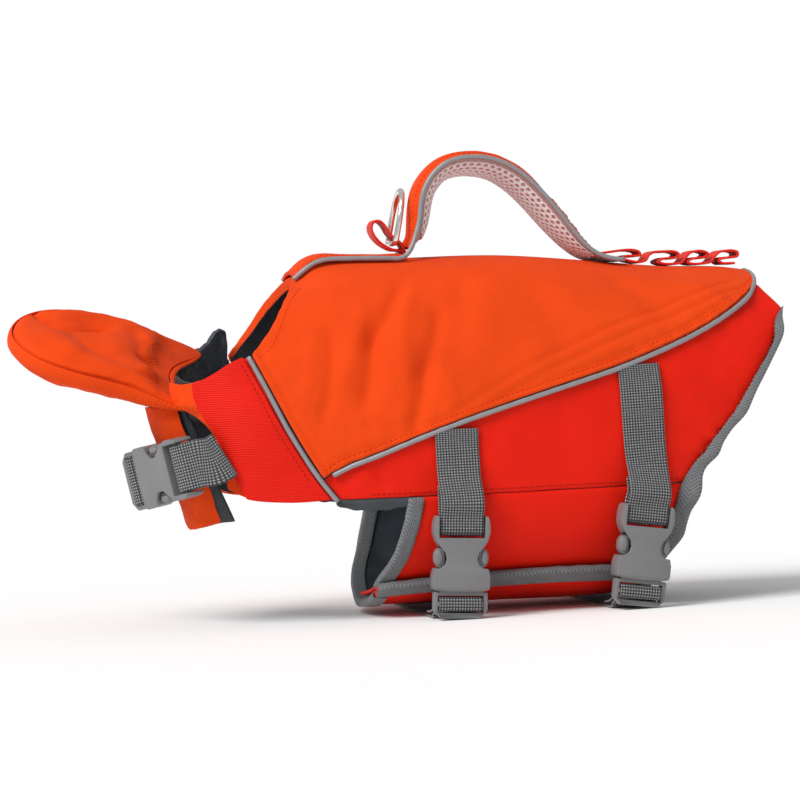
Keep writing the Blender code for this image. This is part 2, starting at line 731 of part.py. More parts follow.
def make_float(group, orange):
    loft("float_top", float_half(1), orange, group)
    loft("float_under", float_half(-1), orange, group)
    profile = ((0.967, -GUSSET_HALF), (1.0, -GUSSET_HALF + 0.8), (1.018, 0.0),
               (1.0, GUSSET_HALF - 0.8), (0.967, GUSSET_HALF))
    loops = [[float_point(p, q, n) for p, q in inset(float_outline(), share)]
             for share, n in profile]
    sections = [[loop[k] for loop in loops] for k in range(len(loops[0]))]
    loft("float_gusset", sections, orange, group, closed=True)


# ---------------------------------------------------------------- spine strip and handle

STRIP_OUT = SADDLE_PROUD + GAP + STRIP_WALL
STRIP_FRONT_X, STRIP_REAR_X = -62.5, 3.0
# The handle's seam line in side view, its roll to the left, and the heights over and under
# the seam of its cover and its mesh pad.
Grip = namedtuple("Grip", "x z roll cover pad")
HANDLE = (
    Grip(7.5, 212.2, 0, 1.2, 0.8), Grip(12.5, 218, 4, 3.5, 3.5), Grip(14.7, 228, 6, 5.5, 6),
    Grip(15.8, 238, 6, 6, 7), Grip(18.2, 246, 6, 6.3, 7), Grip(23, 253, 6, 6.5, 7),
    Grip(31, 259.3, 6, 6.5, 7), Grip(45, 261.6, 6, 6.5, 7), Grip(61, 258.6, 6, 6.3, 7),
    Grip(74, 250.5, 6, 6, 7), Grip(85, 239, 6, 5.5, 6.5), Grip(95.5, 226, 6, 5, 6),
    Grip(105.5, 213, 4, 4, 4), Grip(114.5, 204.9, 2, 2.2, 2), Grip(124, 201.5, 0, 1.4, 1.0),
    Grip(133, 200.4, 0, 1.4, 1.0),
)
HANDLE_STATIONS = 21
HANDLE_SEAM = 19.2        # half width at the seam


def handle_line():
    """Seam points along the handle, with its heading, width direction and upward normal."""
    rows = smooth([(grip.x, 0.0, grip.z, grip.roll, grip.cover, grip.pad) for grip in HANDLE],
                  HANDLE_STATIONS)
    places = rows[:, :3]
    heading = np.gradient(places, axis=0)
    heading /= np.linalg.norm(heading, axis=1, keepdims=True)
    stations = []
    for place, ahead, (roll, cover, pad) in zip(places, heading, rows[:, 3:]):
        normal = np.array((-ahead[2], 0.0, ahead[0]))
        sideways = np.array((0.0, 1.0, 0.0))
        turn = math.radians(roll)
        width = math.cos(turn) * sideways - math.sin(turn) * normal
        upward = math.cos(turn) * normal + math.sin(turn) * sideways
        stations.append((place, width, upward, cover, pad))
    return stations


def handle_rings(side):
    rings = []
    for place, width, upward, cover, pad in handle_line():
        height = cover if side > 0 else pad
        dome = ((-1.0, 0.10), (-0.82, 0.62), (-0.45, 0.94), (0.0, 1.0), (0.45, 0.94),
                (0.82, 0.62), (1.0, 0.10))
        ring = [place + width * HANDLE_SEAM * t + upward * side * max(GAP, height * h)
                for t, h in dome]
        ring += [place + width * HANDLE_SEAM * t + upward * side * GAP / 2
                 for t in (1.0, 0.0, -1.0)]
        rings.append(ring)
    return rings


def strip_rise(x):
    """The strip bridges the hollow where the back rolls down at the neck."""
    return 1.1 * (1 - ease((x + 46.0) / 14.0))


def make_spine(group, orange, mesh_cloth, grey):
    stations = STRIP_FRONT_X + (STRIP_REAR_X - STRIP_FRONT_X) * np.linspace(0.0, 1.0, 14) ** 1.4
    arcs = np.linspace(-STRIP_HALF_WIDTH, STRIP_HALF_WIDTH, 7)
    cells = np.array([[(x, arc) for x in stations] for arc in arcs])
    wall("spine_strip", skin_grid(cells, lambda x, arc: STRIP_OUT + strip_rise(x)),
         skin_grid(cells, lambda x, arc: STRIP_OUT - STRIP_WALL + strip_rise(x)), orange, group)
    loft("handle_cover", handle_rings(1), orange, group)
    loft("handle_mesh", handle_rings(-1), mesh_cloth, group)
    arc = STRIP_HALF_WIDTH + GAP + PIPING_RADIUS
    out = SADDLE_PROUD + GAP + PIPING_RADIUS + 0.3
    flat = [skin(x, arc, out) for x in np.linspace(STRIP_FRONT_X, 4.0, 14)]
    rim = [place - width * (HANDLE_SEAM + GAP + PIPING_RADIUS)
           for place, width, _, _, _ in handle_line()]
    line = smooth(np.array(flat + rim[2:]), 36)
    tube("spine_piping_left", line, PIPING_RADIUS, grey, group)
    rim = [place + width * (HANDLE_SEAM + GAP + PIPING_RADIUS)
           for place, width, _, _, _ in handle_line()]
    flat = [point * np.array((1.0, -1.0, 1.0)) for point in flat]
    line = smooth(np.array(flat + rim[2:]), 36)
    tube("spine_piping_right", line, PIPING_RADIUS, grey, group)


# ---------------------------------------------------------------- piping and bindings

def beside(cells, distance):
    """Rows of station and arc moved sideways: a line that runs rearwards moves down the side."""
    travel = np.gradient(cells, axis=0)
    sideways = np.stack((-travel[:, 1], travel[:, 0]), axis=1)
    return cells + distance * sideways / np.linalg.norm(sideways, axis=1, keepdims=True)


PIPING_START = 0.75       # share of the first column left clear for the chest piping


def make_piping(group, grey):
    """Cords in the slanting seams and the chest seams, lying against the saddle's edge."""
    lift = GAP + PIPING_RADIUS
    seam = slant_seam()
    seam[0] += PIPING_START * (seam[1] - seam[0])
    slant = beside(seam, lift + 0.2)
    end = (SADDLE_REAR_X + lift, slant[-1, 1] - 9.0)
    behind = [(end[0], arc) for arc in np.linspace(end[1], 0.2, 4)]
    slant = smooth(np.vstack((slant, behind)), 30)
    chest = beside(smooth(on_skin((*CHEST_SEAM, CHEST_SEAM_END)), 16), lift + 0.2)
    for name, cells in (("saddle_piping", slant), ("chest_piping", chest)):
        points = np.array([skin(x, arc, lift) for x, arc in cells])
        tube(name + "_left", points, PIPING_RADIUS, grey, group)
        tube(name + "_right", points * np.array((1.0, -1.0, 1.0)), PIPING_RADIUS, grey, group)


def make_bindings(group, grey, side, belly, flap):
    """Grey tape on the hem, the leg openings and the flap's edge, from the panels' own grids."""
    mirror = np.array((1.0, -1.0, 1.0))
    hem_rows = slice(1, None)
    edge = np.concatenate((side[hem_rows, -1], belly[1:-3, -1]))
    inside = np.concatenate((side[hem_rows, -2], belly[1:-3, -2]))
    bound_edge("hem_binding_left", edge, inside, 7.5, grey, group, wave=1.2)
    edge = np.concatenate((side[hem_rows, -1] * mirror, flap[1:-1, 0]))
    inside = np.concatenate((side[hem_rows, -2] * mirror, flap[1:-1, 1]))
    bound_edge("hem_binding_right", edge, inside, 7.5, grey, group, wave=1.2)
    bound_edge("leg_binding_left", belly[:-3, 0], belly[:-3, 1], 7.5, grey, group)
    bound_edge("leg_binding_right", flap[:-1, -1], flap[:-1, -2], 7.5, grey, group)
    bound_edge("flap_binding", flap[-1], flap[-2], 9.8, grey, group)


# ---------------------------------------------------------------- buckles

# Half outlines of a side-release buckle seen from its face: across, and up from its lower end.
SOCKET_HALF = ((0, 15.2), (12, 15.4), (15.6, 16.2), (16.3, 18), (16.3, 24), (15.3, 28),
               (12.2, 28.3), (9.6, 30.5), (8.8, 33.7), (9.6, 37), (12.2, 40), (14.6, 43.5),
               (16, 48), (15.9, 53), (15, 57), (13.9, 57.8), (0, 57.8))
PLUG_HALF = ((0, 0), (11, 0), (15.5, 4.5), (15.5, 14.2), (14.8, 14.8), (12.4, 14.8), (12.4, 28.5),
             (14.0, 29.4), (15.3, 31.6), (15.6, 34), (15.4, 36.6), (14.2, 39), (12.2, 39.6),
             (10.6, 38.8), (9.6, 36), (9.3, 22), (0, 22))
BUTTON = ((11.3, 34), (11.7, 31.8), (12.4, 30.4), (13.4, 30.4), (14.4, 31.8), (14.9, 34),
          (14.4, 36.5), (13.4, 38.2), (12.4, 38.2), (11.7, 36.6))
SOCKET_THICK, PLUG_THICK = 5.5, 2.8        # half thicknesses
BUTTON_RISE = 1.4
BAR_BOX = (-2.0, 2.0, 49.8, 53.3)          # the socket's bar: its thickness and height
WINDOW_BOX = (-7.0, 7.0, 45.4, 60.0)       # and the opening round it
WINDOW_HALF = 13.2
CAVITY = (12.9, 3.3, 14.0, 41.5)           # half width, half thickness, low and high ends
PLUG_SLOTS = ((3.0, 6.8), (9.4, 12.8))     # low and high edges, each 25.9 wide

Frame = namedtuple("Frame", "origin across face up scale")


def both_halves(half):
    """A whole outline from its right half."""
    return [*half, *[(-x, y) for x, y in half[-2:0:-1]]]


def rectangle(low_x, high_x, low_y, high_y):
    return [(low_x, low_y), (high_x, low_y), (high_x, high_y), (low_x, high_y)]


def plate(outline, holes, half_thick, pads=(), rise=0.0, upright=True):
    """A flat plate: outline, holes and raised pads in the x-z plane, or, not upright, y-z."""
    loops = [outline, *holes, *pads]
    caps = tessellate_polygon([[Vector((x, y, 0.0)) for x, y in loop] for loop in loops])
    work = bmesh.new()

    def layer(loop, depth):
        return [work.verts.new((x, depth, y) if upright else (depth, x, y)) for x, y in loop]

    def walls(first, second):
        for k in range(len(first)):
            after = (k + 1) % len(first)
            work.faces.new((first[k], first[after], second[after], second[k]))

    low = [layer(loop, -half_thick) for loop in loops]
    high = [layer(loop, half_thick) for loop in loops]
    for level in (low, high):
        corners = [vert for loop in level for vert in loop]
        for triangle in caps:
            work.faces.new([corners[k] for k in triangle])
    through = 1 + len(holes)
    for below, above in zip(low[:through], high[:through]):
        walls(below, above)
    for level, sign in ((low, -1), (high, 1)):
        for loop, foot in zip(pads, level[through:]):
            head = layer(loop, sign * (half_thick + rise))
            walls(foot, head)
            work.faces.new(head)
    bmesh.ops.recalc_face_normals(work, faces=work.faces)
    return work


def joined(parts, name):
    """One mesh from several bmesh plates that don't touch."""
    mesh = bpy.data.meshes.new(name)
    whole = bmesh.new()
    for part in parts:
        part.to_mesh(mesh)
        part.free()
        whole.from_mesh(mesh)
    whole.to_mesh(mesh)
    whole.free()
    return mesh


def without(first, second, group):
    """The first mesh with the second cut out of it."""
    body = bpy.data.objects.new("body", first)
    tool = bpy.data.objects.new("tool", second)
    group.objects.link(body)
    group.objects.link(tool)
    step = body.modifiers.new("step", "BOOLEAN")
    step.operation = "DIFFERENCE"
    step.object = tool
    step.solver = "EXACT"
    graph = bpy.context.evaluated_depsgraph_get()
    result = bpy.data.meshes.new_from_object(body.evaluated_get(graph))
    bpy.data.objects.remove(body)
    bpy.data.objects.remove(tool)
    return result


def socket_mesh(group):
    body = joined([plate(both_halves(SOCKET_HALF), (), SOCKET_THICK)], "socket")
    width, depth, low, high = CAVITY
    cavity = plate(rectangle(-width, width, low, high), (), depth)
    window = plate(rectangle(*WINDOW_BOX), (rectangle(*BAR_BOX),), WINDOW_HALF, upright=False)
    return without(body, joined([cavity, window], "socket_space"), group)


def plug_mesh():
    slots = [rectangle(-12.95, 12.95, low, high) for low, high in PLUG_SLOTS]
    far = [(-x, y) for x, y in BUTTON]
    return joined([plate(both_halves(PLUG_HALF), slots, PLUG_THICK, (BUTTON, far), BUTTON_RISE)],
                  "plug")


def placed(frame, across, out, up):
    """A place in a buckle's own frame: across, out of its face, up from its lower end."""
    return (frame.origin + frame.across * across * frame.scale + frame.face * out * frame.scale
            + frame.up * up * frame.scale)


def buckle_frame(origin, face, up, scale=1.0):
    face = unit(np.array(face, float))
    up = np.array(up, float)
    up = unit(up - face * np.dot(up, face))
    return Frame(np.array(origin, float), np.cross(up, face), face, up, scale)


def add_buckle(place, frame, socket, plug, finish, group):
    axes = np.stack((frame.across, -frame.face, frame.up), axis=1) * frame.scale * 0.001
    origin = in_metres(frame.origin)
    matrix = Matrix([[*axes[k], origin[k]] for k in range(3)] + [[0, 0, 0, 1]])
    for kind, shape in (("socket", socket), ("plug", plug)):
        mesh = shape.copy()
        mesh.name = kind + "_" + place
        mesh.materials.clear()
        mesh.transform(matrix)
        mesh.shade_smooth()
        mesh.set_sharp_from_angle(angle=math.radians(30))
        add_object(kind + "_" + place, mesh, finish, group)


# ---------------------------------------------------------------- webbings

def mirrored_frame(frame):
    """The same buckle on the dog's other side."""
    flip = np.array((1.0, -1.0, 1.0))
    return Frame(frame.origin * flip, -frame.across * flip, frame.face * flip, frame.up * flip,
                 frame.scale)


FRONT_BUCKLE = buckle_frame((14.0, -83.3, 0.9), (0.0, -1.0, 0.0), (0.06, 0.0, 1.0))
REAR_BUCKLE = buckle_frame((118.0, -79.5, 1.8), (0.14, -1.0, 0.0), (0.15, 0.0, 1.0))
NECK_BUCKLE = buckle_frame((-159.0, 4.3, 83.5), (-0.87, -0.44, -0.14), (0.445, -0.88, 0.155), 1.1)

# The side strap's run round the socket's bar, out of the face and up, ending behind itself.
ROUND_BAR = ((4.6, 66), (3.4, 58), (3.2, 53), (3.2, 49.6), (1.6, 47.6), (-0.8, 47.3),
             (-2.7, 48.5), (-3.3, 51.5), (-3.4, 56))
# The belly web's run round the plug's inner bar.
ROUND_PLUG = ((-4.2, 4.4), (-2.0, 4.9), (2.2, 4.9), (3.7, 6.2), (3.8, 9.6), (2.6, 11.2),
              (0.0, 11.3), (-2.4, 11.2), (-4.6, 9.4))
Run = namedtuple("Run", "y z")
BELLY_RUN = (Run(0, 0.75), Run(-55, 0.75), Run(-64, 2.0), Run(-71, 3.6))
BELLY_TAIL = (Run(-71, 6.8), Run(-64, 5.0), Run(-56, 3.6), Run(-46, 3.1))


def side_strap(name, middle, frame, finish, group):
    """From the slanting seam down the side, round the socket's bar and up behind itself."""
    seam = slant_seam()
    half = SIDE_WEB_WIDTH / 2
    flat = GAP + 0.9 + WEBBING / 2
    corners = [skin(x, float(np.interp(x, seam[:, 0], seam[:, 1])) + 4.4, flat)
               for x in (middle - half, middle + half)]
    top = (corners[0] + corners[1]) / 2
    bar = placed(frame, 0.0, 4.6, 66.0)
    steps = 2 + int((top[2] - 98.0) / 14.0)
    falls = [(height, flat) for height in np.linspace(top[2], 98.0, steps)[1:]]
    path, across = [top], [corners[1] - corners[0]]
    for height, out in (*falls, (89.0, 2.9), (80.0, 5.0)):
        t = (top[2] - height) / (top[2] - bar[2])
        x = top[0] + t * (bar[0] - top[0])
        path.append(skin(x, arc_at(x, height), out))
        level = np.array((1.0, 0.0, 0.0)) * (1 - t) + frame.across * t
        across.append(unit(level) * SIDE_WEB_WIDTH)
    path += [placed(frame, 0.0, out, up) for out, up in ROUND_BAR]
    for height, out in ((66.0, 2.8), (76.0, 2.0)):
        path.append(skin(bar[0], arc_at(bar[0], height), out))
    across += [frame.across * SIDE_WEB_WIDTH] * (len(path) - len(across))
    flip = np.array((1.0, -1.0, 1.0))
    band(name + "_left", path, across, finish, group)
    band(name + "_right", np.array(path) * flip, np.array(across) * flip, finish, group)


def belly_web(name, frame, finish, group):
    """Under the belly from plug to plug; its ends fold back over the plugs' inner bars."""
    x = placed(frame, 0.0, 0.0, 4.4)[0]
    path = [np.array((x, run.y, run.z)) for run in BELLY_RUN]
    path += [placed(frame, 0.0, out, up) for out, up in ROUND_PLUG]
    path += [np.array((x, run.y, run.z)) for run in BELLY_TAIL]
    turn = [0.0, 0.0, 0.4, 0.8] + [1.0] * len(ROUND_PLUG) + [0.8, 0.4, 0.1, 0.0]
    straight = np.array((1.0, 0.0, 0.0))
    across = [unit(straight + t * (frame.across - straight)) * SIDE_WEB_WIDTH for t in turn]
    path, across = np.array(path), np.array(across)
    flip = np.array((1.0, -1.0, 1.0))
    band(name, np.concatenate(((path * flip)[:0:-1], path)),
         np.concatenate(((across * flip)[:0:-1], across)), finish, group)


# The neck webbings: plain points at the collar's side, then the run round the bar of the buckle.
NEAR_NECK_RUN = ((-112, -57.5, 99), (-118.5, -57.5, 95.5))
NEAR_NECK_BAR = ((-3.6, 62.5), (-0.8, 59.6), (1.9, 57.2), (3.2, 53.6), (3.2, 49.8), (1.6, 47.7),
                 (-0.8, 47.3), (-2.7, 48.5), (-3.5, 51.5), (-4.6, 56), (-7.4, 60.5))
NEAR_NECK_TAIL = ()
FAR_NECK_RUN = ((-109, 55.5, 92), (-122, 51, 90), (-137, 40.5, 87.5), (-150, 25, 85))
FAR_NECK_BAR = ((-4.2, -3.0), (-4.2, 2.4), (-3.6, 4.2), (-2.2, 4.9), (2.2, 4.9), (3.8, 6.2),
                (3.9, 9.6), (2.6, 11.2), (0.0, 11.3), (-2.6, 11.2), (-5.4, 9.0), (-6.4, 4.0))
FAR_NECK_TAIL = ((-151.5, 17, 84), (-146.5, 27, 85))


def neck_web(name, run, bar, tail, frame, finish, group):
    path = [np.array(point, float) for point in run]
    path += [placed(frame, 0.0, out, up) for out, up in bar]
    path += [np.array(point, float) for point in tail]
    path = np.array(path)
    across = []
    for ahead in np.gradient(path, axis=0):
        ahead = unit(ahead)
        level = frame.across - ahead * np.dot(frame.across, ahead)
        across.append(unit(level) * NECK_WEB_WIDTH)
    band(name, path, across, finish, group)


def make_webbings(group, web, plastic):
    socket, plug = socket_mesh(group), plug_mesh()
    for place, frame in (("front", FRONT_BUCKLE), ("rear", REAR_BUCKLE)):
        add_buckle(place + "_left", frame, socket, plug, plastic, group)
        add_buckle(place + "_right", mirrored_frame(frame), socket, plug, plastic, group)
    add_buckle("neck", NECK_BUCKLE, socket, plug, plastic, group)
    side_strap("strap_front", 17.8, FRONT_BUCKLE, web, group)
    side_strap("strap_rear", 126.5, REAR_BUCKLE, web, group)
    belly_web("belly_web_front", FRONT_BUCKLE, web, group)
    belly_web("belly_web_rear", REAR_BUCKLE, web, group)
    neck_web("neck_web_left", NEAR_NECK_RUN, NEAR_NECK_BAR, NEAR_NECK_TAIL, NECK_BUCKLE, web, group)
    neck_web("neck_web_right", FAR_NECK_RUN, FAR_NECK_BAR, FAR_NECK_TAIL, NECK_BUCKLE, web, group)


# ---------------------------------------------------------------- leash ring, tab and trim loops

RING_BAR = (-0.9, 215.5)          # the ring's straight bar: station and height
RING_LEAN = 12.0                  # towards the handle
RING_HALF, RING_HEIGHT, RING_WIRE = 13.5, 31.5, 1.75
TAB_WIDTH = 16.0
TAB = ((4.4, 207.8), (4.2, 211.0), (-2, 212.0), (-8, 215.5), (-12, 220), (-13.6, 224.5),
       (-12.4, 228), (-9.4, 229), (-5.8, 226.2), (-3.4, 221.6), (-0.4, 218.7), (2.2, 216.6),
       (4.6, 213.4), (6.1, 207.8))
TRIM_WIDTH = 20.0
TRIM_TIPS = (147.7, 170.3, 187.9, 206.8)
TRIM_START = ((122.5, 205.0), (128, 205.4), (136, 206.2), (142, 205.9), (146.6, 203.9),
              (144.2, 202.5), (140, 202.6), (136.3, 202.6), (134.6, 201.6), (136, 200.7))
# One leaning loop: station from the tip before it, then station from its own tip, with heights
# of the webbing's middle over the saddle.
LOOP_RISE = ((-4.0, 1.2), (0.6, 2.2), (2.6, 4.6), (5.2, 7.4))
LOOP_FALL = ((-8.0, 8.6), (-3.6, 8.4), (-0.9, 6.6), (-3.2, 4.9), (-8.2, 4.5), (-12.6, 3.6),
             (-13.9, 2.4), (-12.2, 1.3))


def saddle_top(x):
    return skin_point(x, 0.0)[2] + SADDLE_PROUD


def make_ring(group, scarlet, steel):
    lean = math.radians(RING_LEAN)
    up = np.array((math.sin(lean), 0.0, math.cos(lean)))
    middle = np.array((RING_BAR[0], 0.0, RING_BAR[1]))
    flat = [(-RING_HALF + 2.0, 0.0), (0.0, 0.0), (RING_HALF - 2.0, 0.0), (RING_HALF - 0.4, 0.8),
            (RING_HALF, 3.0)]
    arch = [(RING_HALF * math.cos(turn), 14.0 + (RING_HEIGHT - 14.0) * math.sin(turn))
            for turn in np.linspace(0.0, math.pi, 11)]
    flat += [*arch, (-RING_HALF, 3.0), (-RING_HALF + 0.4, 0.8)]
    points = [middle + np.array((0.0, across, 0.0)) + up * height for across, height in flat]
    tube("d_ring", points, RING_WIRE, steel, group, closed=True)
    path = smooth([(x, 0.0, z) for x, z in TAB], 22)
    band("ring_tab", path, (0.0, TAB_WIDTH, 0.0), scarlet, group)


def make_trim(group, scarlet):
    line = [(x, 0.0, z) for x, z in TRIM_START]
    for before, tip in zip(TRIM_TIPS, TRIM_TIPS[1:]):
        run = [(before + x, h) for x, h in LOOP_RISE] + [(tip + x, h) for x, h in LOOP_FALL]
        line += [(x, 0.0, saddle_top(x) + h) for x, h in run]
    last = TRIM_TIPS[-1] - 4.0
    line.append((last, 0.0, saddle_top(last) + 1.2))
    band("trim_loops", smooth(line, 54), (0.0, TRIM_WIDTH, 0.0), scarlet, group)


# ---------------------------------------------------------------- build

def build():
    clear_scene()
    jacket = new_collection("dog_life_jacket")
    orange = material("orange_twill", ORANGE, 0.75)
    red = material("red_nylon", RED, 0.65)
    ribbed = material("ribbed_red_nylon", SCARLET, 0.6)
    slate = material("slate_lining", SLATE, 0.5)
    spacer = material("spacer_mesh", MESH_WHITE, 0.9)
    pipe = material("reflective_piping", PIPE_GREY, 0.4)
    tape = material("binding_tape", TAPE_GREY, 0.8)
    web = material("webbing", WEB_GREY, 0.8)
    plastic = material("buckle_plastic", PLASTIC_GREY, 0.45)
    scarlet = material("red_webbing", SCARLET, 0.7)
    steel = material("bright_steel", STEEL, 0.25, 1.0)
    make_saddle(jacket, orange)
    side = make_sides(jacket, red)
    belly, flap = make_belly(jacket, red)
    make_collar(jacket, orange, ribbed)
    make_throat(jacket, orange, slate)
    make_neck_lining(jacket, slate)
    make_float(jacket, orange)
    make_spine(jacket, orange, spacer, pipe)
    make_piping(jacket, pipe)
    make_bindings(jacket, tape, side, belly, flap)
    make_webbings(jacket, web, plastic)
    make_ring(jacket, scarlet, steel)
    make_trim(jacket, scarlet)


build()
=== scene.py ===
"""Dog life jacket: its cloths, foam pads, webbings and buckles, dressed for a studio.

Frame: +X towards the tail, -Y the dog's left, +Z up. Pattern sizes are in millimetres, and
pattern() turns them into metres of the frame. Every piece keeps its place in its own mesh.
"""
import json
import math
from collections import namedtuple

import bmesh
import bpy
import numpy as np
from mathutils import Matrix, Vector
from mathutils.bvhtree import BVHTree
from mathutils.kdtree import KDTree
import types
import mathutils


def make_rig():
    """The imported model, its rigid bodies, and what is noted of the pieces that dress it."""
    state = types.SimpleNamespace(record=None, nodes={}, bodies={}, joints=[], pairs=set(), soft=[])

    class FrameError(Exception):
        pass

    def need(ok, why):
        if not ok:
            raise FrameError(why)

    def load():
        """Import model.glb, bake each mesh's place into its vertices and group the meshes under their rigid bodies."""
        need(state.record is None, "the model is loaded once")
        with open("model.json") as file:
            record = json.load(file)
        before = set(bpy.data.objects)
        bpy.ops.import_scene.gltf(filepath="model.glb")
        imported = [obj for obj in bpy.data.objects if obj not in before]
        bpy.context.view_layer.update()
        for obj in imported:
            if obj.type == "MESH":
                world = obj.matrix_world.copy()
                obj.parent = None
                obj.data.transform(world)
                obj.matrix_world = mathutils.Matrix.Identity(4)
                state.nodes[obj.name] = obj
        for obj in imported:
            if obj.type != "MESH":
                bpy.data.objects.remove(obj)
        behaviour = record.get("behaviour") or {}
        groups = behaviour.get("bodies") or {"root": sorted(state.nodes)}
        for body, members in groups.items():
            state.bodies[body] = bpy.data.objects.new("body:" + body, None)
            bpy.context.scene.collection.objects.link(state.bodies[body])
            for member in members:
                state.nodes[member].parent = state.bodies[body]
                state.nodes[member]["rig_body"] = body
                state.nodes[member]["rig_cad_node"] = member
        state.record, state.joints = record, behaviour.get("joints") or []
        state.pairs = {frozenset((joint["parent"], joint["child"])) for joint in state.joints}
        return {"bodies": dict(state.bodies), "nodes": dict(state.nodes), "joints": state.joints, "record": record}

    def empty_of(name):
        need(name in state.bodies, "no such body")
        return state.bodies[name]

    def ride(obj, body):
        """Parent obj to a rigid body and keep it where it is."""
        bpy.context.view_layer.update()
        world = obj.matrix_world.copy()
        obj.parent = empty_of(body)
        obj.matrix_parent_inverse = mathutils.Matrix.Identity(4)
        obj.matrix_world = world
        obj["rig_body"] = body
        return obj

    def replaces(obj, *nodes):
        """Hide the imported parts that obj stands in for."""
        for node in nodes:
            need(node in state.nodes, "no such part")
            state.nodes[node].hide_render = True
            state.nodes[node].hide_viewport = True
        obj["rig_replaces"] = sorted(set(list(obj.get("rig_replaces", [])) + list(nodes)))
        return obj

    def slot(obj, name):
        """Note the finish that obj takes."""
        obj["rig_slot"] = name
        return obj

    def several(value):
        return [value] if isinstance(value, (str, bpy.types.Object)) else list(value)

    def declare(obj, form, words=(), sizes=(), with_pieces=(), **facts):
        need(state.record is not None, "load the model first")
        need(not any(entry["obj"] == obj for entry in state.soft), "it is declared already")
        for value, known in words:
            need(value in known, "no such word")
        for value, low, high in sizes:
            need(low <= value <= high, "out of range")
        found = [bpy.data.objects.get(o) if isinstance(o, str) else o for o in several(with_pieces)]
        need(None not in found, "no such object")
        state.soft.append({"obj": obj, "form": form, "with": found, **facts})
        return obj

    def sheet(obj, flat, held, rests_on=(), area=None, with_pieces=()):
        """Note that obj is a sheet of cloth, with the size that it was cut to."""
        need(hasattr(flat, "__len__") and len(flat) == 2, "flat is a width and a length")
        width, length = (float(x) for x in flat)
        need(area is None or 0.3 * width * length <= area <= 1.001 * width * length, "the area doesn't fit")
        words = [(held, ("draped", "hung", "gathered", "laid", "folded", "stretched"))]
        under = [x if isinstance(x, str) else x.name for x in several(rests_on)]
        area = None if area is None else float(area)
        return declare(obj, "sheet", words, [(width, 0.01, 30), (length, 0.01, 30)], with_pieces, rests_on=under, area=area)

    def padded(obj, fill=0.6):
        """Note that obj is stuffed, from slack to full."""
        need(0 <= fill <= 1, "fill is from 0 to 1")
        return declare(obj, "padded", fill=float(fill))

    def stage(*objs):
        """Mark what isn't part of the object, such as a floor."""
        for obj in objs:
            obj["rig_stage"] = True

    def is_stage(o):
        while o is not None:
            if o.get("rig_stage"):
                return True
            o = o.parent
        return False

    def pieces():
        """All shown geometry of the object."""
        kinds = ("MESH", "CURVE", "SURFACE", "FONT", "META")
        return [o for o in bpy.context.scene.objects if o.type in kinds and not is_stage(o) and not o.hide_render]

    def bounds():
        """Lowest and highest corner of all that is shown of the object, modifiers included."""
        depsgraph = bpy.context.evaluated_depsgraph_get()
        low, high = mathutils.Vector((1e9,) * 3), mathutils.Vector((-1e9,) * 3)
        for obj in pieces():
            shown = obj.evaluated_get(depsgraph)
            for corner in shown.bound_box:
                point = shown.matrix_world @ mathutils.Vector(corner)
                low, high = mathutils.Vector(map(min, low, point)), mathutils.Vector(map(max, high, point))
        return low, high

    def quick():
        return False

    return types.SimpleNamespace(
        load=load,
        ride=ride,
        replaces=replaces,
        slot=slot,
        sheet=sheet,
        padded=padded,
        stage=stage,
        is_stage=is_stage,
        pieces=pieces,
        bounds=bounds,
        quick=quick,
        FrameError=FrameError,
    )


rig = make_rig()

MM = 0.001
SHIFT_X = 2.425            # pattern station 0 in the frame
SEAM_Z = 70.0              # seam between side and belly cloth
BACK_ROUND, BELLY_ROUND = 2.3, 2.4
WEB_THICK = 1.5
SIDES = ((1, "left"), (-1, "right"))       # the jacket's side and its word in every name
PAD_VOXEL = 4.0            # cell of the plain copy that a pad is inflated on
FLOAT_SWELL, HANDLE_SWELL = 2.2, 0.9

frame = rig.load()
cad_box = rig.bounds()

# ---------------------------------------------------------------- the body's skin

Station = namedtuple("Station", "x spine waist half_width seam_half belly")
BODY = (
    Station(-115, 197, 112, 50, 45, 12), Station(-60, 205, 108, 66, 64, 12),
    Station(0, 204, 108, 76, 75, 11), Station(60, 203.5, 108, 77, 76, 10),
    Station(120, 197.5, 106, 72, 71, 10), Station(160, 193, 106, 67, 65, 12),
    Station(200, 191.8, 112, 58, 50, 30), Station(235, 190, 122, 45, 42, 60),
)
CHEST_SEAM = ((-93, 154), (-84, 135), (-75, 115), (-66, 98), (-57, 83), (-48, 71))
SLANT_SEAM = ((-57, 83), (-46, 90), (-30, 95), (-9, 103), (14, 111), (37, 118), (60, 124.5),
              (80, 130), (103, 136), (122, 141.5), (141, 148), (160, 155), (180, 164),
              (197, 173.5), (210, 184))
NECK_EDGE = ((-60.5, 204.5), (-67.5, 194), (-73, 184), (-79, 170), (-85, 159), (-93, 154))
HEM = ((213, 182), (222, 169), (221, 160), (212, 147), (201, 131), (186, 108), (179, 98),
       (166, 86), (160, 76), (156, 67), (152, 54), (147, 41), (142, 30), (138, 20))
LEG_EDGE = ((-9, 68), (-11, 58), (-15, 45), (-18, 34), (-24, 25))


def pattern(point):
    """A place in pattern millimetres as metres of the frame."""
    return np.asarray(point, float) * MM + np.array((SHIFT_X * MM, 0.0, 0.0))


def body_at(x):
    stations = np.array([row.x for row in BODY], float)
    table = np.array([row[1:] for row in BODY], float)
    slopes = np.gradient(table, stations, axis=0)
    x = min(max(x, stations[0]), stations[-1])
    row = int(min(max(np.searchsorted(stations, x) - 1, 0), len(BODY) - 2))
    length = stations[row + 1] - stations[row]
    t = (x - stations[row]) / length
    value = ((2 * t**3 - 3 * t**2 + 1) * table[row] + (t**3 - 2 * t**2 + t) * length * slopes[row]
             + (3 * t**2 - 2 * t**3) * table[row + 1] + (t**3 - t**2) * length * slopes[row + 1])
    return Station(x, *value)


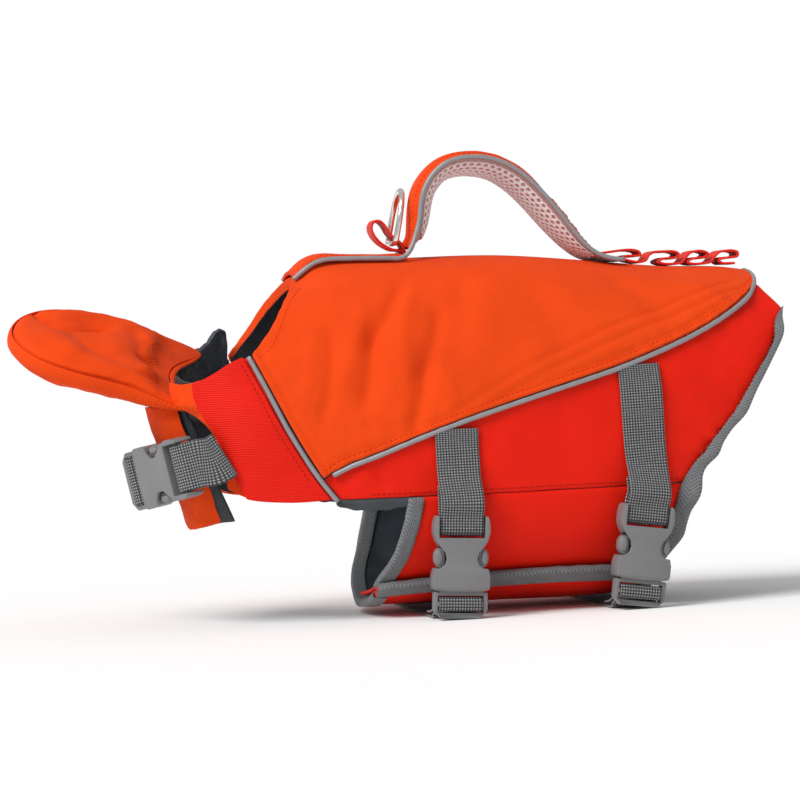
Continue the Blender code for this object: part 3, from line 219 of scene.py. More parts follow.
def section(x):
    """Arc length, half width and height down one side at station x, spine to belly line."""
    body = body_at(x)
    turn = np.linspace(0.0, math.pi / 2, 31)
    drop = np.linspace(0.0, 1.0, 9)[1:]
    back_y = body.half_width * np.sin(turn) ** (2 / BACK_ROUND)
    back_z = body.waist + (body.spine - body.waist) * np.cos(turn) ** (2 / BACK_ROUND)
    side_y = body.half_width - (body.half_width - body.seam_half) * drop**2
    side_z = body.waist - (body.waist - SEAM_Z) * drop
    belly_y = body.seam_half * np.cos(turn[1:]) ** (2 / BELLY_ROUND)
    belly_z = SEAM_Z - (SEAM_Z - body.belly) * np.sin(turn[1:]) ** (2 / BELLY_ROUND)
    y = np.concatenate((back_y, side_y, belly_y))
    z = np.concatenate((back_z, side_z, belly_z))
    arc = np.concatenate(([0.0], np.cumsum(np.hypot(np.diff(y), np.diff(z)))))
    return arc, y, z


def arc_at(x, z):
    arc, _, height = section(x)
    return float(np.interp(-z, -height, arc))


def skin_point(x, arc):
    lengths, half, height = section(x)
    return np.array((x, -float(np.interp(arc, lengths, half)),
                     float(np.interp(arc, lengths, height))))


def unit(vector):
    return vector / np.linalg.norm(vector)


def skin(x, arc, out=0.0):
    """A point of the left side's skin, moved out along its normal, in pattern millimetres."""
    ahead = skin_point(x + 1.5, arc) - skin_point(x - 1.5, arc)
    around = skin_point(x, arc + 1.5) - skin_point(x, arc - 1.5)
    return skin_point(x, arc) + out * unit(np.cross(around, ahead))


def on_skin(marks):
    return np.array([(x, arc_at(x, z)) for x, z in marks])


def resample(points, count):
    points = np.asarray(points, float)
    run = np.concatenate(([0.0], np.cumsum(np.linalg.norm(np.diff(points, axis=0), axis=1))))
    places = np.linspace(0.0, run[-1], count)
    return np.stack([np.interp(places, run, points[:, k]) for k in range(points.shape[1])], axis=1)


def smooth(points, count):
    """Evenly spaced points on a Catmull-Rom curve through a list of points."""
    points = np.asarray(points, float)
    padded = np.vstack((2 * points[0] - points[1], points, 2 * points[-1] - points[-2]))
    dense = []
    for k in range(1, len(padded) - 2):
        a, b, c, d = padded[k - 1:k + 3]
        for t in np.linspace(0.0, 1.0, 9)[:-1]:
            dense.append(0.5 * (2 * b + (c - a) * t + (2 * a - 5 * b + 4 * c - d) * t**2
                                + (3 * b - a - 3 * c + d) * t**3))
    dense.append(points[-1])
    return resample(dense, count)


def beside(cells, distance):
    """Rows of station and arc moved sideways: a line that runs rearwards moves down the side."""
    travel = np.gradient(cells, axis=0)
    sideways = np.stack((-travel[:, 1], travel[:, 0]), axis=1)
    return cells + distance * sideways / np.linalg.norm(sideways, axis=1, keepdims=True)


def ease(t):
    t = np.clip(t, 0.0, 1.0)
    return t * t * (3 - 2 * t)


# ---------------------------------------------------------------- meshes

def points_of(mesh):
    flat = np.empty(len(mesh.vertices) * 3)
    mesh.vertices.foreach_get("co", flat)
    return flat.reshape(-1, 3)


def set_points(mesh, points):
    mesh.vertices.foreach_set("co", np.asarray(points, float).ravel())
    mesh.update()


def set_uv(mesh, uv):
    """One pattern coordinate per vertex, in millimetres, as the mesh's UV map."""
    layer = mesh.uv_layers.new(name="pattern")
    corners = np.empty(len(mesh.loops), int)
    mesh.loops.foreach_get("vertex_index", corners)
    layer.data.foreach_set("uv", np.asarray(uv, float)[corners].ravel())


def new_object(name, mesh, *finishes):
    mesh.name = name
    mesh.materials.clear()
    for finish in finishes:
        mesh.materials.append(finish)
    thing = bpy.data.objects.new(name, mesh)
    bpy.context.scene.collection.objects.link(thing)
    return thing


def baked(thing):
    """The object's modifiers made part of its mesh."""
    graph = bpy.context.evaluated_depsgraph_get()
    mesh = bpy.data.meshes.new_from_object(thing.evaluated_get(graph))
    old = thing.data
    thing.modifiers.clear()
    thing.data = mesh
    mesh.name = thing.name
    bpy.data.meshes.remove(old)
    return thing


def merged(node):
    """A copy of a node's mesh with its triangles joined into the quads they came from."""
    work = bmesh.new()
    work.from_mesh(frame["nodes"][node].data)
    bmesh.ops.remove_doubles(work, verts=work.verts, dist=2e-6)
    bmesh.ops.join_triangles(work, faces=work.faces, angle_face_threshold=math.radians(50),
                             angle_shape_threshold=math.radians(170))
    return work


def refined(node, name, levels, finishes, crease=0.7, angle=40):
    """A node's form made smooth: its sharp rims stay, softly rounded."""
    work = merged(node)
    layer = work.edges.layers.float.new("crease_edge")
    for edge in work.edges:
        if edge.calc_face_angle(0.0) > math.radians(angle):
            edge[layer] = crease
    mesh = bpy.data.meshes.new(name)
    work.to_mesh(mesh)
    work.free()
    thing = new_object(name, mesh, *finishes)
    step = thing.modifiers.new("smooth", "SUBSURF")
    step.levels = step.render_levels = levels
    baked(thing).data.shade_smooth()
    return thing


def line_inside(thing, centre, threshold=-0.5):
    """Gives the faces that look towards the body's middle the piece's second finish."""
    for face in thing.data.polygons:
        out = Vector(face.center) - Vector((centre(face.center.x)))
        if face.normal.dot(out.normalized()) < threshold:
            face.material_index = 1


def body_middle(x):
    return x, 0.0, 0.112


def head_middle(x):
    return -0.075, 0.0, 0.100


def filled(thing, voxel, cap, free):
    """Swells a padded piece: a remeshed copy is inflated as cloth for twenty frames, and its
    moves, none longer than cap millimetres, are carried back to the piece where free() is 1."""
    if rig.quick():
        return thing
    copy = new_object(thing.name + "_filling", thing.data.copy())
    remesh = copy.modifiers.new("remesh", "REMESH")
    remesh.mode = "VOXEL"
    remesh.voxel_size = voxel * MM
    rest = points_of(baked(copy).data)
    cloth = copy.modifiers.new("cloth", "CLOTH")
    cloth.settings.quality = 4
    cloth.settings.mass = 0.15
    cloth.settings.use_pressure = True
    cloth.settings.uniform_pressure_force = 4.0
    cloth.settings.effector_weights.gravity = 0.0
    for step in range(1, 21):
        bpy.context.scene.frame_set(step)
    moved = points_of(baked(copy).data) - rest
    bpy.context.scene.frame_set(1)
    moved -= moved.mean(axis=0)
    length = np.linalg.norm(moved, axis=1, keepdims=True)
    moved *= np.minimum(1.0, cap * MM / np.maximum(length, 1e-9))
    near = KDTree(len(rest))
    for k, place in enumerate(rest):
        near.insert(place, k)
    near.balance()
    points = points_of(thing.data)
    for k, share in enumerate(free(points)):
        found = near.find_n(points[k], 5)
        weight = np.array([1.0 / (gap + 0.5 * MM) for _, _, gap in found])
        move = (weight[:, None] * moved[[index for _, index, _ in found]]).sum(axis=0)
        points[k] += share * move / weight.sum()
    set_points(thing.data, points)
    bpy.data.objects.remove(copy)
    return thing


# ---------------------------------------------------------------- pattern coordinates

GIRTH_TABLE = []
for place in np.arange(-150.0, 245.0, 6.0):
    lengths, half, height = section(place)
    GIRTH_TABLE.append((place, np.arctan2(half, height - 110.0), lengths))


def girth_uv(points, under=False):
    """Station and arc round the body; under counts the arc from the belly line."""
    x = points[:, 0] / MM - SHIFT_X
    y, z = points[:, 1] / MM, points[:, 2] / MM
    turn = np.arctan2(np.abs(y), z - 110.0)
    stations = np.array([row[0] for row in GIRTH_TABLE])
    arcs = np.array([np.interp(turn, row[1], row[2]) for row in GIRTH_TABLE])
    if under:
        arcs -= np.array([row[2][-1] for row in GIRTH_TABLE])[:, None]
    place = np.clip((x - stations[0]) / 6.0, 0.0, len(stations) - 1.001)
    low = place.astype(int)
    share = place - low
    index = np.arange(len(x))
    arc = arcs[low, index] * (1 - share) + arcs[low + 1, index] * share
    return np.stack((x, np.where(y > 0, -arc, arc)), axis=1)


def round_uv(points, middle_x=-90.0, radius=48.0):
    """Way round the neck and height."""
    x, y, z = points[:, 0] / MM - SHIFT_X, points[:, 1] / MM, points[:, 2] / MM
    return np.stack((np.arctan2(y, middle_x - x) * radius, z), axis=1)


def along_uv(points, guide, across=None):
    """Way along a guide line in metres and the distance from it, or the place across."""
    run = np.concatenate(([0.0], np.cumsum(np.linalg.norm(np.diff(guide, axis=0), axis=1))))
    best = np.full(len(points), 1e9)
    u, v = np.zeros(len(points)), np.zeros(len(points))
    for k in range(len(guide) - 1):
        step = guide[k + 1] - guide[k]
        share = np.clip((points - guide[k]) @ step / (step @ step), 0.0, 1.0)
        off = points - guide[k] - share[:, None] * step
        gap = np.linalg.norm(off, axis=1)
        closer = gap < best
        best = np.where(closer, gap, best)
        u = np.where(closer, run[k] + share * np.linalg.norm(step), u)
        v = np.where(closer, gap if across is None else points @ across, v)
    return np.stack((u, v), axis=1) / MM


# ---------------------------------------------------------------- folds

Fold = namedtuple("Fold", "x1 v1 x2 v2 width depth")


def fold_depth(uv, folds):
    """Depth of soft folds, each along a line from one pattern place to another."""
    depth = np.zeros(len(uv))
    for fold in folds:
        start, end = np.array((fold.x1, fold.v1)), np.array((fold.x2, fold.v2))
        step = end - start
        length = np.linalg.norm(step)
        heading = step / length
        way = (uv - start) @ heading / length
        off = (uv - start) @ np.array((-heading[1], heading[0]))
        off = off + 0.06 * length * np.sin(3.1 * way + fold.x1)
        fade = ease(way / 0.35 + 0.3) * ease((1 - way) / 0.35 + 0.3)
        depth += fold.depth * fade * np.exp(-(off / fold.width) ** 2)
    return depth


def ripple(uv, length, seed):
    """A slow uneven wave over the cloth, about -1 to 1."""
    u, v = uv[:, 0] / length, uv[:, 1] / length
    wave = (np.sin(6.3 * (0.9 * u + 0.35 * v) + seed) + np.sin(6.3 * (0.4 * u - 1.1 * v) + 2.3 * seed)
            + 0.6 * np.sin(6.3 * (1.7 * u + 1.2 * v) + 1.7 * seed))
    return wave / 2.6


def outward(points, middle):
    """Unit directions away from a middle line."""
    out = points - np.array([middle(x) for x in points[:, 0]])
    return out / np.linalg.norm(out, axis=1, keepdims=True)


def distance_to(uv, line):
    """Distance in the pattern from a line of pattern places, and the way along it."""
    best = np.full(len(uv), 1e9)
    way = np.zeros(len(uv))
    run = 0.0
    for first, second in zip(line, line[1:]):
        step = second - first
        length = np.linalg.norm(step)
        share = np.clip((uv - first) @ step / length**2, 0.0, 1.0)
        gap = np.linalg.norm(uv - first - share[:, None] * step, axis=1)
        closer = gap < best
        best = np.where(closer, gap, best)
        way = np.where(closer, run + share * length, way)
        run += length
    return best, way


def puckers(uv, line, pitch, reach, depth, seed=0.0):
    """Small gathers square to a seam, dying away within reach of it."""
    gap, way = distance_to(uv, line)
    phase = 6.283 * way / pitch + 1.3 * np.sin(way / (2.3 * pitch) + seed) + seed
    size = 0.55 + 0.45 * np.sin(way / (3.7 * pitch) + 2.1 * seed)
    return depth * size * np.sin(phase) * np.exp(-(gap / reach) ** 2)


# ---------------------------------------------------------------- finishes

class Value:
    """A shader socket; arithmetic on it adds Math nodes."""

    def __init__(self, finish, socket):
        self.finish, self.socket = finish, socket

    def math(self, operation, first, second=0.0):
        return self.finish.node("ShaderNodeMath", {"operation": operation}, {0: first, 1: second})

    def __add__(self, other):
        return self.math("ADD", self, other)

    def __sub__(self, other):
        return self.math("SUBTRACT", self, other)

    def __rsub__(self, other):
        return self.math("SUBTRACT", other, self)

    def __mul__(self, other):
        return self.math("MULTIPLY", self, other)

    def __truediv__(self, other):
        return self.math("DIVIDE", self, other)

    def __pow__(self, other):
        return self.math("POWER", self, other)

    __radd__, __rmul__ = __add__, __mul__

    def sine(self):
        return self.math("SINE", self)

    def size(self):
        return self.math("ABSOLUTE", self)

    def above(self, limit):
        return self.math("GREATER_THAN", self, limit)


class Finish:
    """One surface finish: a Principled shader and the nodes that feed it."""

    def __init__(self, name, roughness=0.8, **constants):
        self.made = bpy.data.materials.new(name)
        self.made.use_nodes = True
        self.tree = self.made.node_tree
        self.shader = self.tree.nodes["Principled BSDF"]
        self.shader.inputs["Roughness"].default_value = roughness
        for socket, value in constants.items():
            self.shader.inputs[socket.replace("_", " ")].default_value = value

    def node(self, kind, settings, values, output=0):
        made = self.tree.nodes.new(kind)
        for name, value in settings.items():
            if name == "stops":
                ramp = made.color_ramp
                while len(ramp.elements) < len(value):
                    ramp.elements.new(0.5)
                for stop, (place, tone) in zip(ramp.elements, value):
                    stop.position = place
                    stop.color = tone if hasattr(tone, "__len__") else (tone, tone, tone, 1.0)
            else:
                setattr(made, name, value)
        for key, value in values.items():
            if isinstance(value, Value):
                self.tree.links.new(value.socket, made.inputs[key])
            else:
                made.inputs[key].default_value = value
        return Value(self, made.outputs[output])

    def feed(self, socket, value):
        self.tree.links.new(value.socket, self.shader.inputs[socket])

    def axes(self, vector):
        return [self.node("ShaderNodeSeparateXYZ", {}, {0: vector}, output=k) for k in range(3)]

    def pattern(self):
        uv = self.node("ShaderNodeUVMap", {"uv_map": "pattern"}, {})
        return self.axes(uv)[:2]

    def place(self):
        return self.node("ShaderNodeTexCoord", {}, {}, output=3)

    def noise(self, scale, detail=2.0, where=None):
        return self.node("ShaderNodeTexNoise", {}, {"Vector": where or self.place(), "Scale": scale,
                                                    "Detail": detail, "Roughness": 0.55})

    def mix(self, share, dark, light):
        return self.node("ShaderNodeMix", {"data_type": "RGBA"},
                         {0: share, 6: dark if isinstance(dark, Value) else (*dark, 1.0),
                          7: light if isinstance(light, Value) else (*light, 1.0)}, output=2)

    def bump(self, height, distance, strength=1.0, under=None):
        values = {"Height": height, "Distance": distance, "Strength": strength}
        if under is not None:
            values["Normal"] = under
        return self.node("ShaderNodeBump", {}, values)


def tinted(colour, factor):
    return tuple(min(1.0, value * factor) for value in colour)


def twill_cloth(name, colour, pitch=1.72, contrast=0.46, depth=0.00020, roughness=0.80):
    """Coated twill: fine diagonal ribs with the yarns' breaks, slightly mottled."""
    finish = Finish(name, roughness, Sheen_Weight=0.02, Sheen_Roughness=0.5,
                    Specular_IOR_Level=0.14)
    u, v = finish.pattern()
    wander = finish.noise(90.0) * 0.5
    rib = ((u + v) * (2 * math.pi / pitch) + wander).sine() * 0.5 + 0.5
    yarn = ((u - v) * (2 * math.pi / (pitch * 0.74))).sine() * 0.5 + 0.5
    weave = rib * 0.72 + yarn * rib * 0.28
    mottle = finish.noise(34.0, 4.0)
    share = weave * contrast + mottle * 0.5 + (0.28 - contrast / 2)
    finish.feed("Base Color", finish.mix(share, tinted(colour, 0.62), tinted(colour, 1.30)))
    soft = finish.bump(finish.noise(150.0, 3.0), 0.0006, 0.5)
    finish.feed("Normal", finish.bump(weave, depth, 0.8, soft))
    return finish.made


def plain_cloth(name, colour, roughness=0.62):
    """Coated plain nylon: a very fine square weave with a faint shine."""
    finish = Finish(name, roughness, Sheen_Weight=0.01, Specular_IOR_Level=0.15)
    u, v = finish.pattern()
    weave = ((u * (2 * math.pi / 1.1)).sine() * (v * (2 * math.pi / 1.1)).sine()) * 0.5 + 0.5
    mottle = finish.noise(30.0, 4.0)
    share = weave * 0.10 + mottle * 0.5 + 0.2
    finish.feed("Base Color", finish.mix(share, tinted(colour, 0.72), tinted(colour, 1.2)))
    soft = finish.bump(finish.noise(120.0, 3.0), 0.0007, 0.5)
    finish.feed("Normal", finish.bump(weave, 0.00010, 0.7, soft))
    return finish.made


def ribbed_cloth(name, colour, pitch=1.25):
    """Ribbed nylon: fine level ribs with small slubs."""
    finish = Finish(name, 0.6, Sheen_Weight=0.01, Specular_IOR_Level=0.15)
    u, v = finish.pattern()
    slub = finish.noise(220.0, 2.0) * 1.3
    rib = (v * (2 * math.pi / pitch) + slub).sine() * 0.5 + 0.5
    share = rib * 0.42 + finish.noise(40.0, 3.0) * 0.4 + 0.06
    finish.feed("Base Color", finish.mix(share, tinted(colour, 0.66), tinted(colour, 1.25)))
    finish.feed("Normal", finish.bump(rib, 0.00022, 0.85))
    return finish.made


def lining_cloth(name, colour):
    """Dark smooth taffeta with a soft shine and fine crumples; its colour is painted darker in the crumples' hollows
    and lighter on their crests, as shade and shine.
    """
    finish = Finish(name, 0.46, Specular_IOR_Level=0.45)
    crumple_and_painted_shade = finish.noise(70.0, 5.0)
    # Painted shade and shine: the colour is darker where the crumples dip and lighter where they rise.
    finish.feed("Base Color", finish.mix(crumple_and_painted_shade, tinted(colour, 0.6), tinted(colour, 1.7)))
    finish.feed("Roughness", crumple_and_painted_shade * 0.25 + 0.34)
    finish.feed("Normal", finish.bump(crumple_and_painted_shade, 0.0014, 0.5))
    return finish.made


def webbing_cloth(name, dark, light, across=1.65, along=1.5, depth=0.00022):
    """Woven webbing: light picks in rows between darker warp yarns."""
    finish = Finish(name, 0.72, Sheen_Weight=0.10, Specular_IOR_Level=0.3)
    u, v = finish.pattern()
    column = (u * (math.pi / across)).sine().size()
    row = (v * (math.pi / along)).sine().size()
    pick = (column * row) ** 1.9
    fine = ((u + v) * (2 * math.pi / 0.7)).sine() * 0.12
    share = pick + fine + finish.noise(400.0, 2.0) * 0.3 - 0.15
    stops = ((0.16, (*dark, 1.0)), (0.50, (*tinted(light, 0.50), 1.0)), (0.92, (*light, 1.0)))
    tone = finish.node("ShaderNodeValToRGB", {"stops": stops}, {0: share})
    finish.feed("Base Color", tone)
    finish.feed("Normal", finish.bump(pick, depth, 0.9))
    return finish.made


def herringbone_tape(name, dark, light, pitch=1.25):
    """Binding tape: fine slanting ribs that turn at the tape's middle line."""
    finish = Finish(name, 0.7, Sheen_Weight=0.15, Specular_IOR_Level=0.3)
    u, v = finish.pattern()
    rib = ((u * 0.55 + (v - 4.2).size() * 1.0) * (2 * math.pi / pitch)).sine() * 0.5 + 0.5
    share = rib * 0.62 + finish.noise(260.0, 3.0) * 0.5 - 0.05
    finish.feed("Base Color", finish.mix(share, dark, light))
    finish.feed("Normal", finish.bump(rib, 0.00022, 0.9))
    return finish.made


def vinyl_piping(name, colour):
    """Reflective vinyl over a cord: tiny glass beads and fine cross creases."""
    finish = Finish(name, 0.38, Metallic=0.15, Specular_IOR_Level=0.5, Coat_Weight=0.15,
                    Coat_Roughness=0.35)
    bead = finish.noise(2600.0, 1.0)
    wear = finish.noise(180.0, 4.0)
    share = bead * 0.15 + wear * 0.5 + 0.15
    finish.feed("Base Color", finish.mix(share, tinted(colour, 0.80), tinted(colour, 1.18)))
    finish.feed("Roughness", wear * 0.3 + 0.25)
    finish.feed("Normal", finish.bump(wear, 0.0005, 0.5))
    return finish.made


def moulded_plastic(name, colour):
    """Acetal buckle: even mid grey with a fine moulded grain."""
    finish = Finish(name, 0.42, Specular_IOR_Level=0.5)
    grain = finish.noise(1500.0, 2.0)
    cloud = finish.noise(60.0, 3.0)
    finish.feed("Base Color", finish.mix(cloud * 0.6 + grain * 0.25, tinted(colour, 0.86),
                                         tinted(colour, 1.14)))
    finish.feed("Roughness", grain * 0.14 + 0.34)
    finish.feed("Normal", finish.bump(grain, 0.00006, 0.6))
    return finish.made


def bright_metal(name, colour):
    """Polished nickel with faint rub marks."""
    finish = Finish(name, 0.16, Metallic=1.0)
    rub = finish.noise(300.0, 5.0)
    finish.feed("Base Color", finish.mix(rub, tinted(colour, 0.85), tinted(colour, 1.1)))
    finish.feed("Roughness", rub * 0.22 + 0.08)
    return finish.made


def plain_thread(name, colour):
    finish = Finish(name, 0.7, Specular_IOR_Level=0.1)
    ply = finish.noise(1800.0, 2.0)
    finish.feed("Base Color", finish.mix(ply, tinted(colour, 0.7), tinted(colour, 1.3)))
    finish.feed("Normal", finish.bump(ply, 0.0001, 0.7))
    return finish.made


def foam_backing(name, colour):
    finish = Finish(name, 0.9, Sheen_Weight=0.2)
    cell = finish.noise(500.0, 3.0)
    finish.feed("Base Color", finish.mix(cell, tinted(colour, 0.75), tinted(colour, 1.15)))
    finish.feed("Normal", finish.bump(cell, 0.0003, 0.7))
    return finish.made


ORANGE_COLOUR = (0.93, 0.062, 0.003)
RED_COLOUR = (0.79, 0.011, 0.001)
orange_twill = twill_cloth("orange_twill_cloth", ORANGE_COLOUR)
float_twill = twill_cloth("float_twill_cloth", ORANGE_COLOUR, contrast=0.11)
red_nylon = plain_cloth("red_nylon_cloth", RED_COLOUR)
ribbed_red = ribbed_cloth("ribbed_red_cloth", (0.78, 0.010, 0.002))
slate = lining_cloth("slate_taffeta", (0.028, 0.034, 0.041))
grey_webbing = webbing_cloth("grey_webbing", (0.040, 0.042, 0.045), (0.40, 0.405, 0.41))
scarlet_webbing = webbing_cloth("scarlet_webbing", (0.74, 0.016, 0.003), (0.95, 0.040, 0.012),
                                across=1.6, along=1.4, depth=0.00015)
grey_tape = herringbone_tape("grey_tape", (0.075, 0.08, 0.084), (0.22, 0.228, 0.235))
grey_piping = vinyl_piping("grey_piping", (0.27, 0.27, 0.28))
grey_plastic = moulded_plastic("grey_acetal", (0.185, 0.186, 0.192))
nickel = bright_metal("nickel", (0.86, 0.85, 0.82))
orange_thread = plain_thread("orange_thread", (0.78, 0.040, 0.003))
red_thread = plain_thread("red_thread", (0.42, 0.010, 0.004))
grey_thread = plain_thread("grey_thread", (0.16, 0.165, 0.17))
dark_thread = plain_thread("dark_thread", (0.30, 0.012, 0.006))
spacer_white = foam_backing("spacer_white", (0.80, 0.78, 0.78))
# The foam under the handle's net is white; this darker, pinkish colour is painted shade in the net's holes.
spacer_back = foam_backing("spacer_back", (0.50, 0.27, 0.25))


# ---------------------------------------------------------------- helpers that hand a piece over

JACKET = "jacket"
MIRROR = np.array((1.0, -1.0, 1.0))
SLANT = on_skin(SLANT_SEAM)
CHEST = on_skin(CHEST_SEAM)


def own(thing, slot_name, *nodes, body=JACKET):
    """The piece rides on its body and stands for its CAD solids."""
    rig.ride(thing, body)
    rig.slot(thing, slot_name)
    if nodes:
        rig.replaces(thing, *nodes)
    return thing


def dressed(node, name, levels, finishes, slot_name, coordinates, shape=None, middle=body_middle,
            crease=0.7, angle=40):
    """A soft piece on its solid's form, refined, folded and given its pattern coordinates."""
    thing = refined(node, name, levels, finishes, crease, angle)
    points = points_of(thing.data)
    uv = coordinates(points)
    if shape is not None:
        set_points(thing.data, points + shape(points, uv))
    set_uv(thing.data, uv)
    if len(finishes) > 1:
        line_inside(thing, middle)
    return own(thing, slot_name, node)


def outer_tree(thing):
    """A search tree over the faces that show on the outside."""
    faces = [tuple(face.vertices) for face in thing.data.polygons if face.material_index == 0]
    return BVHTree.FromPolygons([vert.co for vert in thing.data.vertices], faces)


def marked_folds(rows):
    """Folds given as stations and heights, turned into stations and arcs."""
    return [Fold(x1, arc_at(x1, z1), x2, arc_at(x2, z2), width, depth)
            for x1, z1, x2, z2, width, depth in rows]


# ---------------------------------------------------------------- saddle

SADDLE_FOLDS = marked_folds((
    (-5, 192, -27, 150, 5.0, -3.0), (-20, 168, -37, 120, 5.5, -3.2), (13, 178, -1, 134, 5.0, -2.8),
    (1, 148, -5, 104, 5.0, -3.0), (4, 190, -14, 132, 5.5, 1.6), (-31, 186, -47, 128, 6.0, 1.5),
    (-50, 170, -57, 110, 4.5, -1.8), (-62, 168, -66, 120, 4.0, 0.7), (27, 195, 22, 126, 8.0, -1.3),
    (18, 142, 11, 110, 5.0, 1.1), (40, 192, 44, 138, 9.0, 0.8), (-36, 112, -12, 108, 5.0, -1.0),
    (58, 190, 92, 146, 9.0, -1.1), (78, 193, 118, 152, 9.0, 0.8), (118, 190, 150, 160, 8.0, -1.2),
    (150, 188, 186, 171, 7.0, 0.8), (96, 143, 142, 153, 6.0, 0.4), (-22, 108, 22, 121, 6.0, -0.5),
    (36, 132, 70, 140, 7.0, 0.5), (168, 180, 203, 182, 5.0, -0.4),
))
STRIP_EDGE_ARC = 27.0     # the strip, the handle and the loops lie on the cloth above this arc


def saddle_shape(side):
    neck = on_skin(NECK_EDGE)

    def shape(points, uv):
        near = np.stack((uv[:, 0] - 4.0 * (side < 0), np.abs(uv[:, 1])), axis=1)
        depth = fold_depth(near, SADDLE_FOLDS) + 0.45 * ripple(near, 64.0, 1.4 + side)
        depth += puckers(near, SLANT, 12.0, 9.0, 0.38, side)
        depth += puckers(near, neck, 10.0, 8.0, 0.35, side + 2.0)
        depth += puckers(near, CHEST, 13.0, 11.0, 0.7, side + 0.6)
        gap, _ = distance_to(near, np.vstack((SLANT, CHEST[::-1])))
        depth -= 0.9 * np.exp(-((gap - 3.6) / 1.5) ** 2)
        depth *= ease((near[:, 1] - STRIP_EDGE_ARC) / 14.0)
        return MM * depth[:, None] * outward(points, body_middle)
    return shape


saddle = {}
for side, word in SIDES:
    saddle[word] = dressed("saddle_" + word, "saddle_cloth_" + word, 3, (orange_twill, slate),
                           "orange_twill", girth_uv, saddle_shape(side))
    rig.padded(saddle[word], fill=0.45)


# ---------------------------------------------------------------- sides and belly

SIDE_FOLDS = marked_folds((
    (-27, 92, -24, 74, 4.0, -1.1), (-36, 88, -38, 74, 5.0, 0.7), (44, 112, 52, 80, 10.0, 0.7),
    (78, 122, 84, 82, 9.0, -0.7), (150, 140, 168, 96, 9.0, 0.8), (172, 150, 196, 132, 6.0, -0.8),
    (160, 118, 186, 112, 6.0, -0.6), (96, 128, 100, 84, 8.0, 0.5), (184, 160, 216, 158, 6.0, 0.6),
    (-2, 100, 2, 76, 7.0, -0.5), (176, 106, 150, 84, 6.0, 0.7),
))
STRAP_BEDS = ((18.0, 17.0), (126.0, 18.0))   # the cloth lies flat under a strap: station, reach
HEM_LINE = on_skin(HEM)
LEG_LINE = on_skin(LEG_EDGE)
BELLY_SEAM = np.array([(x, arc_at(x, SEAM_Z)) for x in np.linspace(-48.0, 157.0, 24)])


def side_shape(side):
    def shape(points, uv):
        near = np.stack((uv[:, 0] - 3.0 * (side < 0), np.abs(uv[:, 1])), axis=1)
        depth = fold_depth(near, SIDE_FOLDS) + 0.5 * ripple(near, 58.0, 2.2 + side)
        depth += puckers(near, SLANT, 13.0, 10.0, 0.3, side)
        depth += puckers(near, HEM_LINE, 11.0, 12.0, 0.4, side + 1.0)
        low = ease((near[:, 1] - arc_at(180.0, 108.0)) / 18.0)
        depth += low * puckers(near, HEM_LINE, 14.0, 15.0, 1.0, side + 2.4)
        gap, _ = distance_to(near, BELLY_SEAM)
        depth -= 0.5 * np.exp(-(gap / 1.6) ** 2)
        under_straps = sum(np.exp(-((near[:, 0] - middle) / half) ** 4)
                           for middle, half in STRAP_BEDS)
        depth = np.where(depth > 0, depth * (1 - 0.9 * np.clip(under_straps, 0, 1)), depth)
        return MM * depth[:, None] * outward(points, body_middle)
    return shape


BELLY_FOLDS = marked_folds((
    (-14, 62, -19, 34, 4.0, -0.8), (2, 66, 0, 34, 6.0, 0.6), (48, 66, 52, 36, 9.0, -0.8),
    (84, 64, 80, 36, 8.0, 0.7), (140, 62, 128, 38, 6.0, -0.7), (66, 48, 96, 42, 5.0, 0.5),
))


def belly_shape(points, uv):
    near = np.stack((uv[:, 0], np.abs(girth_uv(points)[:, 1])), axis=1)
    depth = fold_depth(near, BELLY_FOLDS) + 0.4 * ripple(near, 47.0, 3.1)
    gap, _ = distance_to(near, BELLY_SEAM)
    depth = depth * ease(gap / 9.0) - 0.6 * np.exp(-(gap / 1.6) ** 2)
    depth = np.minimum(depth, 0.15)
    return MM * depth[:, None] * outward(points, lambda x: (x, 0.0, 0.075))


def under_uv(points):
    return girth_uv(points, under=True)


sides = {}
for side, word in SIDES:
    sides[word] = dressed("side_" + word, "side_cloth_" + word, 3, (red_nylon, slate), "red_nylon",
                          girth_uv, side_shape(side))
belly = dressed("belly_left", "belly_cloth_left", 3, (red_nylon, slate), "red_nylon", under_uv,
                belly_shape)
flap = dressed("belly_flap", "belly_flap_cloth", 3, (red_nylon, slate), "red_nylon", under_uv,
               belly_shape)


# ---------------------------------------------------------------- collar, chest and throat

def collar_shape(seed):
    def shape(points, uv):
        depth = 0.5 * ripple(uv, 26.0, seed) + 0.35 * ripple(uv, 13.0, seed + 1.0)
        x = points[:, 0] / MM - SHIFT_X
        ahead = 4.5 * ease((-117.0 - x) / 9.0) * ease((uv[:, 1] - 120.0) / 8.0)
        return MM * (depth[:, None] * outward(points, head_middle)
                     - ahead[:, None] * np.array((1.0, 0.0, 0.0)))
    return shape


CHEST_FOLDS = (Fold(-18, 128, -40, 118, 4.0, -0.5), Fold(-36, 96, -60, 84, 5.0, -0.6),
               Fold(-60, 108, -92, 92, 6.0, 0.5))


def chest_shape(seed):
    def shape(points, uv):
        near = np.stack((-np.abs(uv[:, 0]), uv[:, 1]), axis=1)
        depth = fold_depth(near, CHEST_FOLDS) + 0.3 * ripple(uv, 34.0, seed)
        return MM * np.maximum(depth, -0.35)[:, None] * outward(points, head_middle)
    return shape


def throat_shape(points, uv):
    near = np.stack((uv[:, 0] + 4.0 * np.sin(uv[:, 1] / 14.0), uv[:, 1]), axis=1)
    depth = 0.9 * ripple(near, 34.0, 0.7) + 0.4 * ripple(near, 15.0, 4.0)
    depth = np.minimum(depth, 0.5)
    return MM * depth[:, None] * outward(points, head_middle)


